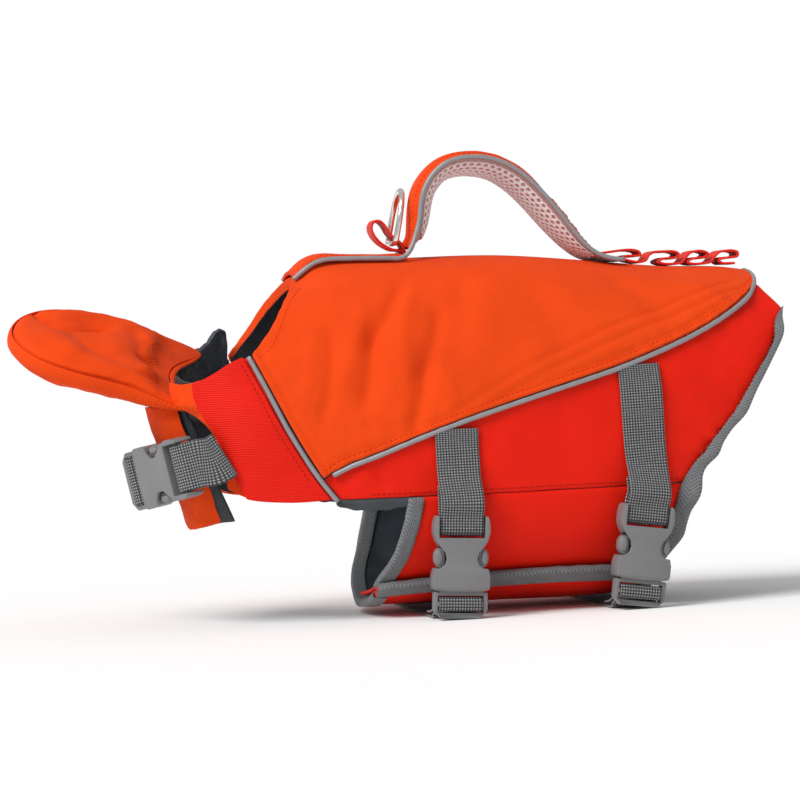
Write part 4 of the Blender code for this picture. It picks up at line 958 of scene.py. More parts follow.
def red_beside_seam(thing):
    """The collar's outer cloth beside the chest seam is the ribbed red's seam allowance."""
    thing.data.materials.append(ribbed_red)
    centres = np.array([face.center for face in thing.data.polygons])
    cells = girth_uv(centres)
    gap, _ = distance_to(np.stack((cells[:, 0], np.abs(cells[:, 1])), axis=1), CHEST)
    for face, near in zip(thing.data.polygons, gap < 9.0):
        if near and face.material_index == 0:
            face.material_index = 2


collar, chest = {}, {}
for seed, word in ((0.4, "left"), (2.9, "right")):
    collar[word] = dressed("collar_" + word, "collar_cloth_" + word, 3, (orange_twill, slate),
                           "orange_twill", round_uv, collar_shape(seed), head_middle)
    chest[word] = dressed("chest_" + word, "chest_cloth_" + word, 3, (ribbed_red, slate),
                          "ribbed_red_nylon", round_uv, chest_shape(seed), head_middle)
    red_beside_seam(collar[word])
throat = dressed("throat", "throat_cloth", 3, (float_twill, slate), "orange_twill", round_uv,
                 throat_shape, head_middle)
throat_lining = dressed("throat_lining", "throat_lining_cloth", 2, (slate,), "slate_lining",
                        round_uv, lambda points, uv: MM * (4.5 * ease((uv[:, 1] - 96.0) / 16.0))[:, None]
                        * np.array((1.0, 0.0, 0.0)))


def roll_shape(points, uv):
    depth = 1.4 * ripple(uv, 19.0, 1.1) + 0.9 * ripple(uv, 10.0, 5.0)
    return MM * np.minimum(depth, 0.3)[:, None] * outward(points, head_middle)


neck_roll = dressed("neck_lining", "neck_lining_roll", 3, (slate,), "slate_lining", round_uv,
                    roll_shape, crease=0.25)
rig.padded(neck_roll, fill=0.35)


# ---------------------------------------------------------------- float

FLOAT_ROOT = pattern((-125.0, 2.0, 143.0))
FLOAT_RISE, FLOAT_ROLL = math.radians(15.5), math.radians(30.0)
FLOAT_ALONG = np.array((-math.cos(FLOAT_RISE), 0.0, math.sin(FLOAT_RISE)))
FLOAT_LEVEL = np.array((math.sin(FLOAT_RISE), 0.0, math.cos(FLOAT_RISE)))
FLOAT_ACROSS = math.cos(FLOAT_ROLL) * np.array((0.0, 1.0, 0.0)) + math.sin(FLOAT_ROLL) * FLOAT_LEVEL
FLOAT_UP = math.cos(FLOAT_ROLL) * FLOAT_LEVEL - math.sin(FLOAT_ROLL) * np.array((0.0, 1.0, 0.0))


def float_uv(points):
    local = (points - FLOAT_ROOT) / MM
    return np.stack((-(local @ FLOAT_ALONG), -(local @ FLOAT_ACROSS)), axis=1)


def off_float_seam(points):
    """How freely a pad swells: not at all at its seam, fully 6.5 mm off it."""
    return ease((np.abs((points - FLOAT_ROOT) @ FLOAT_UP) / MM - 1.5) / 5.0)


# Gathers that fan out from the root, then the soft creases beside the trough.
FLOAT_FOLDS = (
    Fold(0, -26, -34, -34, 3.0, -1.6), Fold(0, -14, -30, -20, 3.5, 1.3),
    Fold(-2, 4, -30, 6, 4.0, -1.8), Fold(-2, 16, -32, 22, 3.5, 1.3),
    Fold(-4, 24, -32, 32, 3.0, -1.5), Fold(-98, -28, -74, -2, 3.6, -2.8),
    Fold(-80, -1, -46, -20, 3.6, -2.8), Fold(-94, 6, -64, 24, 9.0, 1.6),
    Fold(-72, 2, -36, 26, 5.0, -1.4), Fold(-36, -26, -24, 14, 6.0, -2.2),
    Fold(-48, -24, -42, 12, 6.0, 1.2), Fold(-84, -20, -60, -30, 5.0, 1.2),
)


def root_shape(points, uv):
    """The gathered root, drawn in against the neck roll."""
    return -MM * (8.0 * ease((uv[:, 0] + 17.0) / 15.0))[:, None] * FLOAT_ALONG


def float_shape(sign):
    def shape(points, uv):
        depth = fold_depth(uv, FLOAT_FOLDS) + 0.4 * ripple(uv, 30.0, 1.9)
        seam = np.minimum(1.0, np.abs((points - FLOAT_ROOT) @ FLOAT_UP) / (6 * MM))
        return MM * (depth * seam)[:, None] * sign * FLOAT_UP + root_shape(points, uv)
    return shape


float_top = dressed("float_top", "float_top_pad", 3, (float_twill,), "orange_twill", float_uv,
                    float_shape(1), crease=0.5)
float_under = dressed("float_under", "float_under_pad", 3, (float_twill,), "orange_twill", float_uv,
                      float_shape(-1), crease=0.5)
float_gusset = dressed("float_gusset", "float_gusset_pad", 3, (float_twill,), "orange_twill",
                       float_uv, root_shape, crease=0.3, angle=60)
for pad in (float_top, float_under):
    filled(pad, PAD_VOXEL, FLOAT_SWELL, off_float_seam)
for pad in (float_top, float_under, float_gusset):
    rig.padded(pad, fill=0.7)


# ---------------------------------------------------------------- spine strip and handle

Grip = namedtuple("Grip", "x z roll cover pad")
HANDLE = (
    Grip(7.5, 212.2, 0, 1.2, 0.8), Grip(12.5, 218, 4, 3.5, 3.5), Grip(14.7, 228, 6, 5.5, 6),
    Grip(15.8, 238, 6, 6, 7), Grip(18.2, 246, 6, 6.3, 7), Grip(23, 253, 6, 6.5, 7),
    Grip(31, 259.3, 6, 6.5, 7), Grip(45, 261.6, 6, 6.5, 7), Grip(61, 258.6, 6, 6.3, 7),
    Grip(74, 250.5, 6, 6, 7), Grip(85, 239, 6, 5.5, 6.5), Grip(95.5, 226, 6, 5, 6),
    Grip(105.5, 213, 4, 4, 4), Grip(114.5, 204.9, 2, 2.2, 2), Grip(124, 201.5, 0, 1.4, 1.0),
    Grip(133, 200.4, 0, 1.4, 1.0),
)
HANDLE_SEAM = 19.2


def handle_line(count):
    """Seam points along the handle with its width direction, upward normal and pad height."""
    rows = smooth([(grip.x, 0.0, grip.z, grip.roll, grip.pad) for grip in HANDLE], count)
    heading = np.gradient(rows[:, :3], axis=0)
    heading /= np.linalg.norm(heading, axis=1, keepdims=True)
    normal = np.stack((-heading[:, 2], np.zeros(count), heading[:, 0]), axis=1)
    turn = np.radians(rows[:, 3])[:, None]
    sideways = np.array((0.0, 1.0, 0.0))
    width = np.cos(turn) * sideways - np.sin(turn) * normal
    upward = np.cos(turn) * normal + np.sin(turn) * sideways
    return rows[:, :3], width, upward, rows[:, 4]


HANDLE_GUIDE = pattern(handle_line(60)[0])


def handle_uv(points):
    return along_uv(points, HANDLE_GUIDE, np.array((0.0, 1.0, 0.0)))


def off_handle_seam(points):
    """How freely the cover swells: not at all at its seams, fully 4 mm inside them."""
    return ease((18.6 - np.abs(points[:, 1]) / MM) / 4.0)


def cover_shape(points, uv):
    uneven = 0.4 + 0.6 * np.sin(uv[:, 0] / 17.0) ** 2
    depth = 0.35 * np.sin(uv[:, 0] / 1.9 + 1.2 * np.sin(uv[:, 0] / 11.0)) * uneven
    depth *= ease((np.abs(uv[:, 1]) - 6.0) / 9.0) * ease((19.6 - np.abs(uv[:, 1])) / 2.5)
    depth += 0.4 * ripple(uv, 40.0, 0.9) * ease((19.0 - np.abs(uv[:, 1])) / 6.0)
    return MM * depth[:, None] * outward(points, lambda x: (0.062, 0.0, 0.215))


spine_strip = dressed("spine_strip", "spine_strip_cloth", 3, (orange_twill,), "orange_twill",
                      girth_uv, lambda points, uv: MM * (0.25 * ripple(uv, 28.0, 1.0))[:, None]
                      * np.array((0.0, 0.0, 1.0)))
handle_cover = dressed("handle_cover", "handle_cover_pad", 3, (orange_twill,), "orange_twill",
                       handle_uv, cover_shape, crease=0.5, angle=50)
# The foam under the net takes the darker, pinkish finish: painted shade in the net's holes.
handle_foam = dressed("handle_mesh", "handle_mesh_foam", 2, (spacer_back,), "spacer_mesh",
                      handle_uv, None, crease=0.5, angle=50)
filled(handle_cover, PAD_VOXEL, HANDLE_SWELL, off_handle_seam)
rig.padded(handle_cover, fill=0.8)
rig.padded(handle_foam, fill=0.8)


# ---------------------------------------------------------------- geometry node trees

def new_tree(name, sockets):
    """A node tree with a mesh in and out and the named inputs given."""
    tree = bpy.data.node_groups.new(name, "GeometryNodeTree")
    tree.interface.new_socket("Geometry", in_out="INPUT", socket_type="NodeSocketGeometry")
    for label, kind, value in sockets:
        made = tree.interface.new_socket(label, in_out="INPUT", socket_type="NodeSocket" + kind)
        if value is not None:
            made.default_value = value
    tree.interface.new_socket("Geometry", in_out="OUTPUT", socket_type="NodeSocketGeometry")
    start = tree.nodes.new("NodeGroupInput")
    end = tree.nodes.new("NodeGroupOutput")

    def add(kind, settings, values):
        made = tree.nodes.new(kind)
        for key, value in settings.items():
            setattr(made, key, value)
        for key, value in values.items():
            if isinstance(value, bpy.types.NodeSocket):
                tree.links.new(value, made.inputs[key])
            else:
                made.inputs[key].default_value = value
        return made
    return tree, start, end, add


def grown(thing, tree, **values):
    """The object after a node tree with these named inputs, as a plain mesh."""
    step = thing.modifiers.new(tree.name, "NODES")
    step.node_group = tree
    named = {item.name: item.identifier for item in tree.interface.items_tree
             if item.in_out == "INPUT"}
    for label, value in values.items():
        step[named[label]] = value
    return baked(thing)


def stitch_tree():
    """Thread stitches along a line of edges: each a short rounded dash, laid along the line."""
    tree, start, end, add = new_tree("stitch_row", (("Pitch", "Float", 0.0032),
                                                    ("Length", "Float", 0.0022),
                                                    ("Thickness", "Float", 0.0006),
                                                    ("Thread", "Material", None)))
    curve = add("GeometryNodeMeshToCurve", {}, {"Mesh": start.outputs["Geometry"]})
    spaced = add("GeometryNodeResampleCurve", {"mode": "LENGTH"},
                 {"Curve": curve.outputs[0], "Length": start.outputs["Pitch"]})
    dash = add("GeometryNodeMeshUVSphere", {}, {"Segments": 6, "Rings": 5, "Radius": 0.5})
    tangent = add("GeometryNodeInputTangent", {}, {})
    turn = add("FunctionNodeAlignRotationToVector", {"axis": "X"}, {"Vector": tangent.outputs[0]})
    size = add("ShaderNodeCombineXYZ", {}, {0: start.outputs["Length"],
                                            1: start.outputs["Thickness"],
                                            2: start.outputs["Thickness"]})
    rows = add("GeometryNodeInstanceOnPoints", {}, {"Points": spaced.outputs[0],
                                                    "Instance": dash.outputs[0],
                                                    "Rotation": turn.outputs[0],
                                                    "Scale": size.outputs[0]})
    real = add("GeometryNodeRealizeInstances", {}, {"Geometry": rows.outputs[0]})
    done = add("GeometryNodeSetMaterial", {}, {"Geometry": real.outputs[0],
                                               "Material": start.outputs["Thread"]})
    tree.links.new(done.outputs[0], end.inputs[0])
    return tree


def net_tree():
    """A knitted net: one hole for each point of a triangle mesh."""
    tree, start, end, add = new_tree("spacer_net", (("Hole share", "Float", 0.6),
                                                    ("Yarn", "Material", None)))
    cells = add("GeometryNodeDualMesh", {}, {"Mesh": start.outputs["Geometry"]})
    ring = add("GeometryNodeExtrudeMesh", {"mode": "FACES"},
               {"Mesh": cells.outputs[0], "Offset Scale": 0.0, "Individual": True})
    small = add("GeometryNodeScaleElements", {}, {"Geometry": ring.outputs["Mesh"],
                                                  "Selection": ring.outputs["Top"],
                                                  "Scale": start.outputs["Hole share"]})
    holes = add("GeometryNodeDeleteGeometry", {"domain": "FACE"},
                {"Geometry": small.outputs[0], "Selection": ring.outputs["Top"]})
    whole = add("GeometryNodeMergeByDistance", {}, {"Geometry": holes.outputs[0],
                                                    "Distance": 0.00002})
    round_holes = add("GeometryNodeSubdivisionSurface", {}, {"Mesh": whole.outputs[0], "Level": 1})
    real = add("GeometryNodeRealizeInstances", {}, {"Geometry": round_holes.outputs[0]})
    done = add("GeometryNodeSetMaterial", {}, {"Geometry": real.outputs[0],
                                               "Material": start.outputs["Yarn"]})
    tree.links.new(done.outputs[0], end.inputs[0])
    return tree


STITCHES, NET = stitch_tree(), net_tree()
NET_PITCH = 4.4
DOME = ((-1.0, 0.10), (-0.82, 0.62), (-0.45, 0.94), (0.0, 1.0), (0.45, 0.94), (0.82, 0.62),
        (1.0, 0.10))


def handle_net():
    """The handle's spacer net, drawn over the foam from one piping to the other."""
    count = 40
    places, width, upward, pad = handle_line(count)
    run = np.concatenate(([0.0], np.cumsum(np.linalg.norm(np.diff(places, axis=0), axis=1))))
    dome = resample(np.array(DOME) * (HANDLE_SEAM, 6.5), 60) / (HANDLE_SEAM, 6.5)
    row_step = NET_PITCH * 0.866
    rows = int(44.0 / row_step) + 1
    columns = int((run[-1] - 16.0) / NET_PITCH)
    work = bmesh.new()
    grid = []
    for i in range(rows):
        q = i / (rows - 1) * (len(dome) - 1)
        across = np.interp(q, range(len(dome)), dome[:, 0])
        high = np.interp(q, range(len(dome)), dome[:, 1])
        line = []
        for j in range(columns):
            way = 6.0 + (j + 0.5 * (i % 2)) * NET_PITCH
            k = np.interp(way, run, range(count))
            at = [np.array([np.interp(k, range(count), table[:, axis]) for axis in range(3)])
                  for table in (places, width, upward)]
            deep = np.interp(k, range(count), pad) * high + 0.35
            line.append(work.verts.new(pattern(at[0] + at[1] * HANDLE_SEAM * across - at[2] * deep)))
        grid.append(line)
    for i in range(rows - 1):
        for j in range(columns - 1):
            a, b, c, d = grid[i][j], grid[i][j + 1], grid[i + 1][j], grid[i + 1][j + 1]
            for corners in (((a, b, c), (b, d, c)) if i % 2 == 0 else ((a, d, c), (a, b, d))):
                work.faces.new(corners)
    bmesh.ops.recalc_face_normals(work, faces=work.faces)
    mesh = bpy.data.meshes.new("handle_net")
    work.to_mesh(mesh)
    work.free()
    thing = grown(new_object("handle_net", mesh, spacer_white), NET, **{"Hole share": 0.68,
                                                                        "Yarn": spacer_white})
    step = thing.modifiers.new("yarn", "SOLIDIFY")
    step.thickness = 0.7 * MM
    step.offset = 0.0
    baked(thing).data.shade_smooth()
    return thing


own(handle_net(), "spacer_mesh", "handle_mesh")


# ---------------------------------------------------------------- piping and bindings

def full_again(thing, amount, seed):
    """Pushes a smoothed cord back out to its radius, with slight uneven swells."""
    mesh = thing.data
    points = points_of(mesh)
    normals = np.empty(len(points) * 3)
    mesh.vertices.foreach_get("normal", normals)
    swell = 0.05 * np.sin(points @ np.array((410.0, 530.0, 470.0)) + seed)
    set_points(mesh, points + MM * (amount + swell)[:, None] * normals.reshape(-1, 3))


def plain_uv(points):
    return points[:, (0, 2)] / MM


def corner_shape(points, uv):
    """The cord is drawn down against the saddle's turned rear corner."""
    near = ease((points[:, 0] / MM - SHIFT_X - 201.0) / 9.0)
    return -MM * near[:, None] * np.array((2.4, 0.0, 1.6))


for seed, name in enumerate(("saddle_piping_left", "saddle_piping_right", "chest_piping_left",
                             "chest_piping_right", "spine_piping_left", "spine_piping_right")):
    cord = dressed(name, name + "_cord", 2, (grey_piping,), "reflective_piping", plain_uv,
                   corner_shape if name.startswith("saddle") else None, crease=0.6, angle=75)
    full_again(cord, 0.22, seed)


def flap_cells():
    stations = np.linspace(-26.0, 136.0, 24)
    return np.array([(x, arc_at(x, 27.0 - 4.0 * ((x - 70.0) / 90.0) ** 2)) for x in stations])


def guide(cells, out, side):
    points = pattern([skin(x, arc, out) for x, arc in smooth(cells, 60)])
    return points if side > 0 else points * MIRROR


FLAP_CELLS = flap_cells()
HEM_GUIDES = {side: guide(HEM_LINE, 0.0, side) for side in (1, -1)}
LEG_GUIDES = {side: guide(LEG_LINE, 0.0, side) for side in (1, -1)}
FLAP_GUIDE = guide(FLAP_CELLS, 5.6, 1)


def tape_shape(pitch, depth, flare=0.0):
    """A gathered binding; flare opens its free edge rearwards and out."""
    def shape(points, uv):
        wave = np.sin(6.283 * uv[:, 0] / pitch + 1.5 * np.sin(uv[:, 0] / 21.0))
        uneven = 0.5 + 0.5 * np.sin(uv[:, 0] / 17.0 + 1.0)
        lift = depth * wave * uneven * ease(1.2 - uv[:, 1] / 9.0)
        height = points[:, 2] / MM
        open_edge = flare * ease((7.5 - uv[:, 1]) / 6.0) * ease((height - 24.0) / 20.0)
        lobe = np.sin(6.283 * height / 27.0 + 0.9 * np.sin(height / 13.0))
        open_edge *= (1.0 + 0.40 * lobe * ease((130.0 - height) / 30.0)) * ease((168.0 - height) / 16.0)
        away = np.stack((np.full(len(points), 0.75), 0.65 * np.sign(points[:, 1]),
                         np.zeros(len(points))), axis=1)
        return MM * (lift[:, None] * outward(points, body_middle) + open_edge[:, None] * away)
    return shape


tapes = {}
for node, line, pitch, depth, flare in (
        ("hem_binding_left", HEM_GUIDES[1], 17.0, 0.6, 4.2),
        ("hem_binding_right", HEM_GUIDES[-1], 17.0, 0.6, 4.2),
        ("leg_binding_left", LEG_GUIDES[1], 11.0, 0.3, 0.0),
        ("leg_binding_right", LEG_GUIDES[-1], 11.0, 0.3, 0.0),
        ("flap_binding", FLAP_GUIDE, 15.0, 0.25, 0.0)):
    tapes[node] = dressed(node, node + "_tape", 2, (grey_tape,), "binding_tape",
                          lambda points, line=line: along_uv(points, line),
                          tape_shape(pitch, depth, flare), crease=0.5, angle=50)


# ---------------------------------------------------------------- webbings, tab and loops

def rings_of(node):
    """The corner rings of a flat band's solid, from one end to the other."""
    work = merged(node)
    ends = {vert for vert in work.verts if len(vert.link_edges) == 3}
    ring = [min(ends, key=lambda vert: tuple(vert.co))]
    while len(ring) < 4:
        ring.append(next(edge.other_vert(ring[-1]) for edge in ring[-1].link_edges
                         if edge.other_vert(ring[-1]) in ends
                         and edge.other_vert(ring[-1]) not in ring))
    rings, seen = [], set()
    while ring:
        rings.append([vert.co.copy() for vert in ring])
        seen.update(ring)
        following = []
        for vert in ring:
            near = [edge.other_vert(vert) for edge in vert.link_edges
                    if edge.other_vert(vert) not in seen and edge.other_vert(vert) not in following]
            if near:
                following.append(min(near, key=lambda other: (other.co - vert.co).length))
        ring = following if len(following) == 4 else None
    if len(rings) * 4 != len(work.verts):
        raise ValueError(f"{node}: {len(rings)} rings of {len(work.verts)} corners")
    work.free()
    return np.array(rings)


def strip_line(node):
    """A band's middle line and its across vectors, in metres."""
    rings = rings_of(node)
    if np.linalg.norm(rings[0, 0] - rings[0, 1]) < np.linalg.norm(rings[0, 1] - rings[0, 2]):
        rings = np.roll(rings, 1, axis=1)
    across = (rings[:, 0] - rings[:, 1] + rings[:, 3] - rings[:, 2]) / 2
    return rings.mean(axis=1), across


def webbing(node, name, finish, slot_name, step=0.95, body=JACKET):
    """A band of woven webbing on its solid's line, with rounded selvedges."""
    line, across = strip_line(node)
    length = np.linalg.norm(np.diff(line, axis=0), axis=1).sum()
    rows = int(length / (step * MM))
    path = smooth(np.hstack((line, across)), rows)
    line, across = path[:, :3], path[:, 3:]
    wide = np.linalg.norm(across, axis=1, keepdims=True)
    sideways = across / wide
    heading = np.gradient(line, axis=0)
    heading /= np.linalg.norm(heading, axis=1, keepdims=True)
    sideways -= heading * (sideways * heading).sum(axis=1, keepdims=True)
    sideways /= np.linalg.norm(sideways, axis=1, keepdims=True)
    up = np.cross(heading, sideways)
    half = wide.mean() / 2 / MM
    columns = int(2 * half / step)
    place = np.linspace(-1.0, 1.0, columns) * (half - 0.25)
    edge = 0.75 * np.clip(1 - ((np.abs(place) - half + 0.9) / 0.9).clip(0) ** 2, 0.12, 1) ** 0.5
    run = np.arange(rows) * step
    high = np.tile(WEB_THICK / 2 - 0.80 + edge, (rows, 1))
    faces, uv = [], []
    top = line[:, None] + MM * (sideways[:, None] * place[None, :, None] + up[:, None] * high[..., None])
    low = line[:, None] + MM * (sideways[:, None] * place[None, :, None] - up[:, None] * high[..., None])
    corners = np.concatenate((top, low[:, ::-1]), axis=1)
    around = 2 * columns
    across_uv = np.concatenate((place, place[::-1]))
    uv = np.stack(np.broadcast_arrays(across_uv[None], run[:, None]), axis=2).reshape(-1, 2)
    for i in range(rows - 1):
        for k in range(around):
            a, b = i * around + k, i * around + (k + 1) % around
            faces.append((a, b, b + around, a + around))
    for first in (0, (rows - 1) * around):
        for k in range(columns - 1):
            faces.append((first + k, first + k + 1, first + around - 2 - k, first + around - 1 - k))
    mesh = bpy.data.meshes.new(name)
    mesh.from_pydata(corners.reshape(-1, 3).tolist(), [], faces)
    work = bmesh.new()
    work.from_mesh(mesh)
    bmesh.ops.recalc_face_normals(work, faces=work.faces)
    work.to_mesh(mesh)
    work.free()
    mesh.shade_smooth()
    set_uv(mesh, uv)
    return own(new_object(name, mesh, finish), slot_name, node, body=body)


bands = {node: webbing(node, node + "_woven", grey_webbing, "webbing")
         for node in ("strap_front_left", "strap_front_right", "strap_rear_left", "strap_rear_right",
                      "belly_web_front", "belly_web_rear", "neck_web_left", "neck_web_right")}
for node in ("ring_tab", "trim_loops"):
    webbing(node, node + "_woven", scarlet_webbing, "red_webbing", 0.5)


# ---------------------------------------------------------------- buckles and ring

def moulded(node, name, finish, slot_name):
    """A moulded part on its solid, every outer edge rounded."""
    work = merged(node)
    mesh = bpy.data.meshes.new(name)
    work.to_mesh(mesh)
    work.free()
    mesh.shade_smooth()
    thing = new_object(name, mesh, finish)
    step = thing.modifiers.new("rounding", "BEVEL")
    step.width = 0.45 * MM
    step.segments = 3
    step.limit_method = "ANGLE"
    step.angle_limit = math.radians(38)
    step.use_clamp_overlap = False
    step.harden_normals = True
    baked(thing)
    return own(thing, slot_name, node)


for place in ("front_left", "front_right", "rear_left", "rear_right", "neck"):
    for kind in ("socket_", "plug_"):
        moulded(kind + place, kind + place + "_moulded", grey_plastic, "buckle_plastic")

ring = refined("d_ring", "leash_ring_wire", 2, (nickel,), 0.0, 90)
full_again(ring, 0.26, 0.0)
own(ring, "bright_steel", "d_ring", body="leash_ring")


# ---------------------------------------------------------------- stitches

def stitch(name, line, thread, thing=None, slot_name="orange_twill", pitch=3.1, length=2.1,
           thick=0.55, lift=0.12):
    """A row of stitches on a line in metres, laid on a piece's outer face where one is given."""
    line = np.asarray(line, float)
    if thing is not None:
        tree = outer_tree(thing)
        laid = []
        for place in line:
            spot, normal, _, _ = tree.find_nearest(Vector(place))
            laid.append(np.array(spot + normal * lift * MM))
        line = np.array(laid)
    mesh = bpy.data.meshes.new(name)
    mesh.from_pydata(line.tolist(), [(k, k + 1) for k in range(len(line) - 1)], [])
    row = grown(new_object(name, mesh, thread), STITCHES, Pitch=pitch * MM, Length=length * MM,
                Thickness=thick * MM, Thread=thread)
    row.data.shade_smooth()
    return own(row, slot_name)


def sewn_pair(name, cells, out, thread, pieces, slot_name, **sizes):
    """The same row on both sides of the jacket."""
    for side, word in SIDES:
        points = pattern([skin(x, arc, out) for x, arc in smooth(cells, 90)])
        stitch(name + "_" + word, points if side > 0 else points * MIRROR, thread, pieces[word],
               slot_name, **sizes)


sewn_pair("saddle_topstitch", beside(SLANT, -3.6), 3.2, orange_thread, saddle, "orange_twill")
sewn_pair("neck_topstitch", beside(on_skin(NECK_EDGE), -4.0)[1:], 3.2, orange_thread, saddle,
          "orange_twill")
sewn_pair("seam_topstitch", beside(BELLY_SEAM, -2.6)[2:-1], 0.2, red_thread, sides, "red_nylon",
          pitch=2.9)
tape_pieces = {word: tapes["hem_binding_" + word] for _, word in SIDES}
sewn_pair("hem_stitch", beside(HEM_LINE, 6.1)[1:-1], 1.6, grey_thread, tape_pieces, "binding_tape")
tape_pieces = {word: tapes["leg_binding_" + word] for _, word in SIDES}
sewn_pair("leg_stitch", beside(LEG_LINE, -6.1), 1.6, grey_thread, tape_pieces, "binding_tape")
flap_points = pattern([skin(x, arc, 7.0) for x, arc in smooth(beside(FLAP_CELLS, 8.3), 90)])
stitch("flap_stitch", flap_points, grey_thread, tapes["flap_binding"], "binding_tape")

for side, word in SIDES:
    mirror = (1.0, side, 1.0)
    line = pattern([skin(x - 8.6, arc_at(x - 8.6, z), 3.0) for x, z in CHEST_SEAM][:-1]) * mirror
    stitch("chest_stitch_" + word, smooth(line, 60), dark_thread, chest[word],
           "ribbed_red_nylon", pitch=2.9, length=1.9, thick=0.5)

for side, word in SIDES:
    arcs = [(x, 17.2) for x in np.linspace(-64.0, 1.0, 30)]
    line = pattern([skin(x, arc, 6.0) for x, arc in arcs]) * (1.0, side, 1.0)
    stitch("strip_stitch_" + word, line, orange_thread, spine_strip)
    places, width, upward, _ = handle_line(70)
    line = pattern(places - side * width * 16.6 + upward * 6.0)[8:-2]
    stitch("handle_stitch_" + word, line, orange_thread, handle_cover)


for side, word in SIDES:
    for row, height in enumerate((110.6, 112.4, 114.2)):
        line = pattern([(x, -95.0, height) for x in np.linspace(118.5, 140.5, 24)]) * (1.0, side, 1.0)
        stitch(f"strap_tack_{word}_{row}", line, grey_thread, bands["strap_rear_" + word], "webbing",
               pitch=1.5, length=1.3, thick=0.7)


# ---------------------------------------------------------------- lining edge

def lining_edge(name, side, front, rear, heights, drop):
    """A strip of the lining along the belly seam: its heights and depths, and how far it drops."""
    stations = np.linspace(front, rear, 24)
    rows = []
    for k, x in enumerate(stations):
        low = drop * math.sin(math.pi * k / 23) ** 0.6 + 0.4 * math.sin(1.3 * k + side)
        rows.append([skin(x, arc_at(x, z - low * place), out)
                     for place, (z, out) in zip((0.0, 0.2, 0.6, 1.0), heights)])
    corners = pattern(np.array(rows).reshape(-1, 3)) * (1.0, side, 1.0)
    faces = [(4 * i + j, 4 * i + j + 1, 4 * i + j + 5, 4 * i + j + 4)
             for i in range(23) for j in range(3)]
    mesh = bpy.data.meshes.new(name)
    mesh.from_pydata(corners.tolist(), [], faces)
    thing = new_object(name, mesh, slate)
    cloth = thing.modifiers.new("cloth", "SOLIDIFY")
    cloth.thickness = 0.9 * MM
    cloth.offset = 0.0
    soft = thing.modifiers.new("smooth", "SUBSURF")
    soft.levels = soft.render_levels = 2
    baked(thing).data.shade_smooth()
    return own(thing, "slate_lining")


edges = {}
for word, side in (("left", 1), ("right", -1)):
    edges[word] = [
        lining_edge("leg_lining_edge_" + word, side, -51.0, -6.0,
                    ((72.0, -2.6), (70.0, -1.2), (69.0, -0.5), (67.5, -1.0)), 4.5),
        lining_edge("hem_lining_edge_" + word, side, 90.0, 159.0,
                    ((74.0, -2.8), (71.5, -2.4), (68.5, -2.4), (66.0, -2.8)), 0.0)]


# ---------------------------------------------------------------- cut of the cloths

for _, word in SIDES:
    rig.sheet(sides[word], flat=(0.149, 0.279), area=0.0147, held="stretched",
             rests_on=["saddle_" + word], with_pieces=[tapes["hem_binding_" + word], *edges[word]])
    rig.sheet(chest[word], flat=(0.066, 0.090), area=0.0037, held="stretched",
             rests_on=["collar_" + word])
    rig.sheet(collar[word], flat=(0.076, 0.090), area=0.0044, held="stretched",
             rests_on=["saddle_" + word])
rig.sheet(belly, flat=(0.103, 0.187), area=0.0166, held="stretched", rests_on=["side_left"],
         with_pieces=[tapes["leg_binding_left"]])
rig.sheet(flap, flat=(0.175, 0.187), area=0.0292, held="stretched", rests_on=["side_right"],
         with_pieces=[tapes["leg_binding_right"], tapes["flap_binding"]])
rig.sheet(throat, flat=(0.071, 0.087), area=0.0054, held="hung", rests_on=["float_gusset"])
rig.sheet(throat_lining, flat=(0.071, 0.103), area=0.0055, held="hung", rests_on=["throat"])
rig.sheet(spine_strip, flat=(0.041, 0.071), held="stretched", rests_on=["saddle_left", "saddle_right"])


# ---------------------------------------------------------------- studio

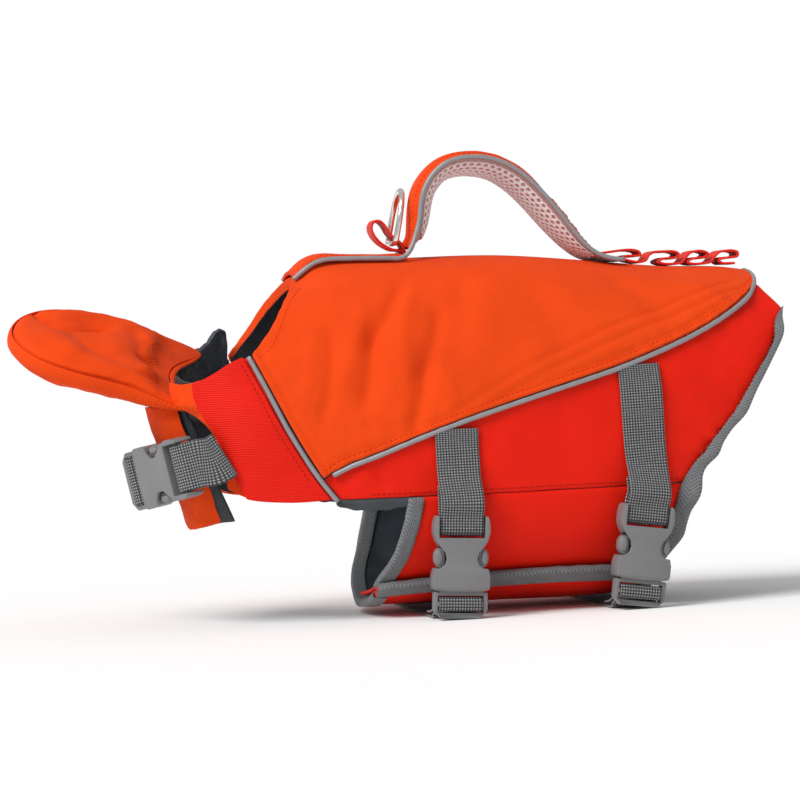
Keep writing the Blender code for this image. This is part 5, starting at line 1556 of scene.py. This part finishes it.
def studio():
    """A white room: even light all round, a broad soft key from the upper left, a white floor."""
    world = bpy.data.worlds.new("studio")
    bpy.context.scene.world = world
    world.use_nodes = True
    tree = world.node_tree
    even = tree.nodes["Background"]
    even.inputs["Color"].default_value = (1.0, 1.0, 1.0, 1.0)
    even.inputs["Strength"].default_value = 0.50
    white = tree.nodes.new("ShaderNodeBackground")
    white.inputs["Strength"].default_value = 1.0
    white.inputs["Color"].default_value = (1.0, 1.0, 1.0, 1.0)
    seen = tree.nodes.new("ShaderNodeLightPath")
    pick = tree.nodes.new("ShaderNodeMixShader")
    tree.links.new(seen.outputs["Is Camera Ray"], pick.inputs[0])
    tree.links.new(even.outputs[0], pick.inputs[1])
    tree.links.new(white.outputs[0], pick.inputs[2])
    tree.links.new(pick.outputs[0], tree.nodes["World Output"].inputs["Surface"])
    key = bpy.data.lights.new("key", "SUN")
    key.energy = 2.45
    key.angle = math.radians(32.0)
    lamp = bpy.data.objects.new("key", key)
    lamp.rotation_euler = Vector((0.85, 0.58, -1.0)).to_track_quat("-Z", "Y").to_euler()
    bpy.context.scene.collection.objects.link(lamp)
    bpy.context.scene.view_settings.view_transform = "Standard"

    size = 12.0
    mesh = bpy.data.meshes.new("floor")
    mesh.from_pydata([(-size, -size, 0), (size, -size, 0), (size, size, 0), (-size, size, 0)], [],
                     [(0, 1, 2, 3)])
    finish = Finish("white_floor", 0.7, Specular_IOR_Level=0.0)
    tone = finish.noise(3.0, 2.0)
    finish.feed("Base Color", finish.mix(tone, (0.95, 0.95, 0.95), (0.97, 0.97, 0.97)))
    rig.stage(new_object("floor", mesh, finish.made))


AZIMUTH, ELEVATION, ROLL = (math.radians(angle) for angle in (-10.0, 1.0, 2.5))
DISTANCE = 2.2
FOCAL_PIXELS, FRAME_PIXELS, SENSOR = 3762.0, 800.0, 36.0
TARGET = np.array((0.0024, 0.0, 0.124))


def camera():
    back = np.array((math.sin(AZIMUTH) * math.cos(ELEVATION), -math.cos(AZIMUTH) * math.cos(ELEVATION),
                     math.sin(ELEVATION)))
    right = unit(np.cross(-back, (0.0, 0.0, 1.0)))
    up = np.cross(right, -back)
    across = right * math.cos(ROLL) - up * math.sin(ROLL)
    upright = up * math.cos(ROLL) + right * math.sin(ROLL)
    lens = bpy.data.cameras.new("camera")
    lens.sensor_width = SENSOR
    lens.lens = FOCAL_PIXELS / FRAME_PIXELS * SENSOR
    lens.clip_end = 60.0
    thing = bpy.data.objects.new("camera", lens)
    place = TARGET + back * DISTANCE
    thing.matrix_world = Matrix([[across[k], upright[k], back[k], place[k]] for k in range(3)]
                                + [[0, 0, 0, 1]])
    bpy.context.scene.collection.objects.link(thing)
    bpy.context.scene.camera = thing


studio()
camera()
bpy.context.view_layer.update()
with open("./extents.json", "w") as sizes:
    json.dump({"cad": [list(corner) for corner in cad_box],
               "visual": [list(corner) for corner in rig.bounds()]}, sizes)
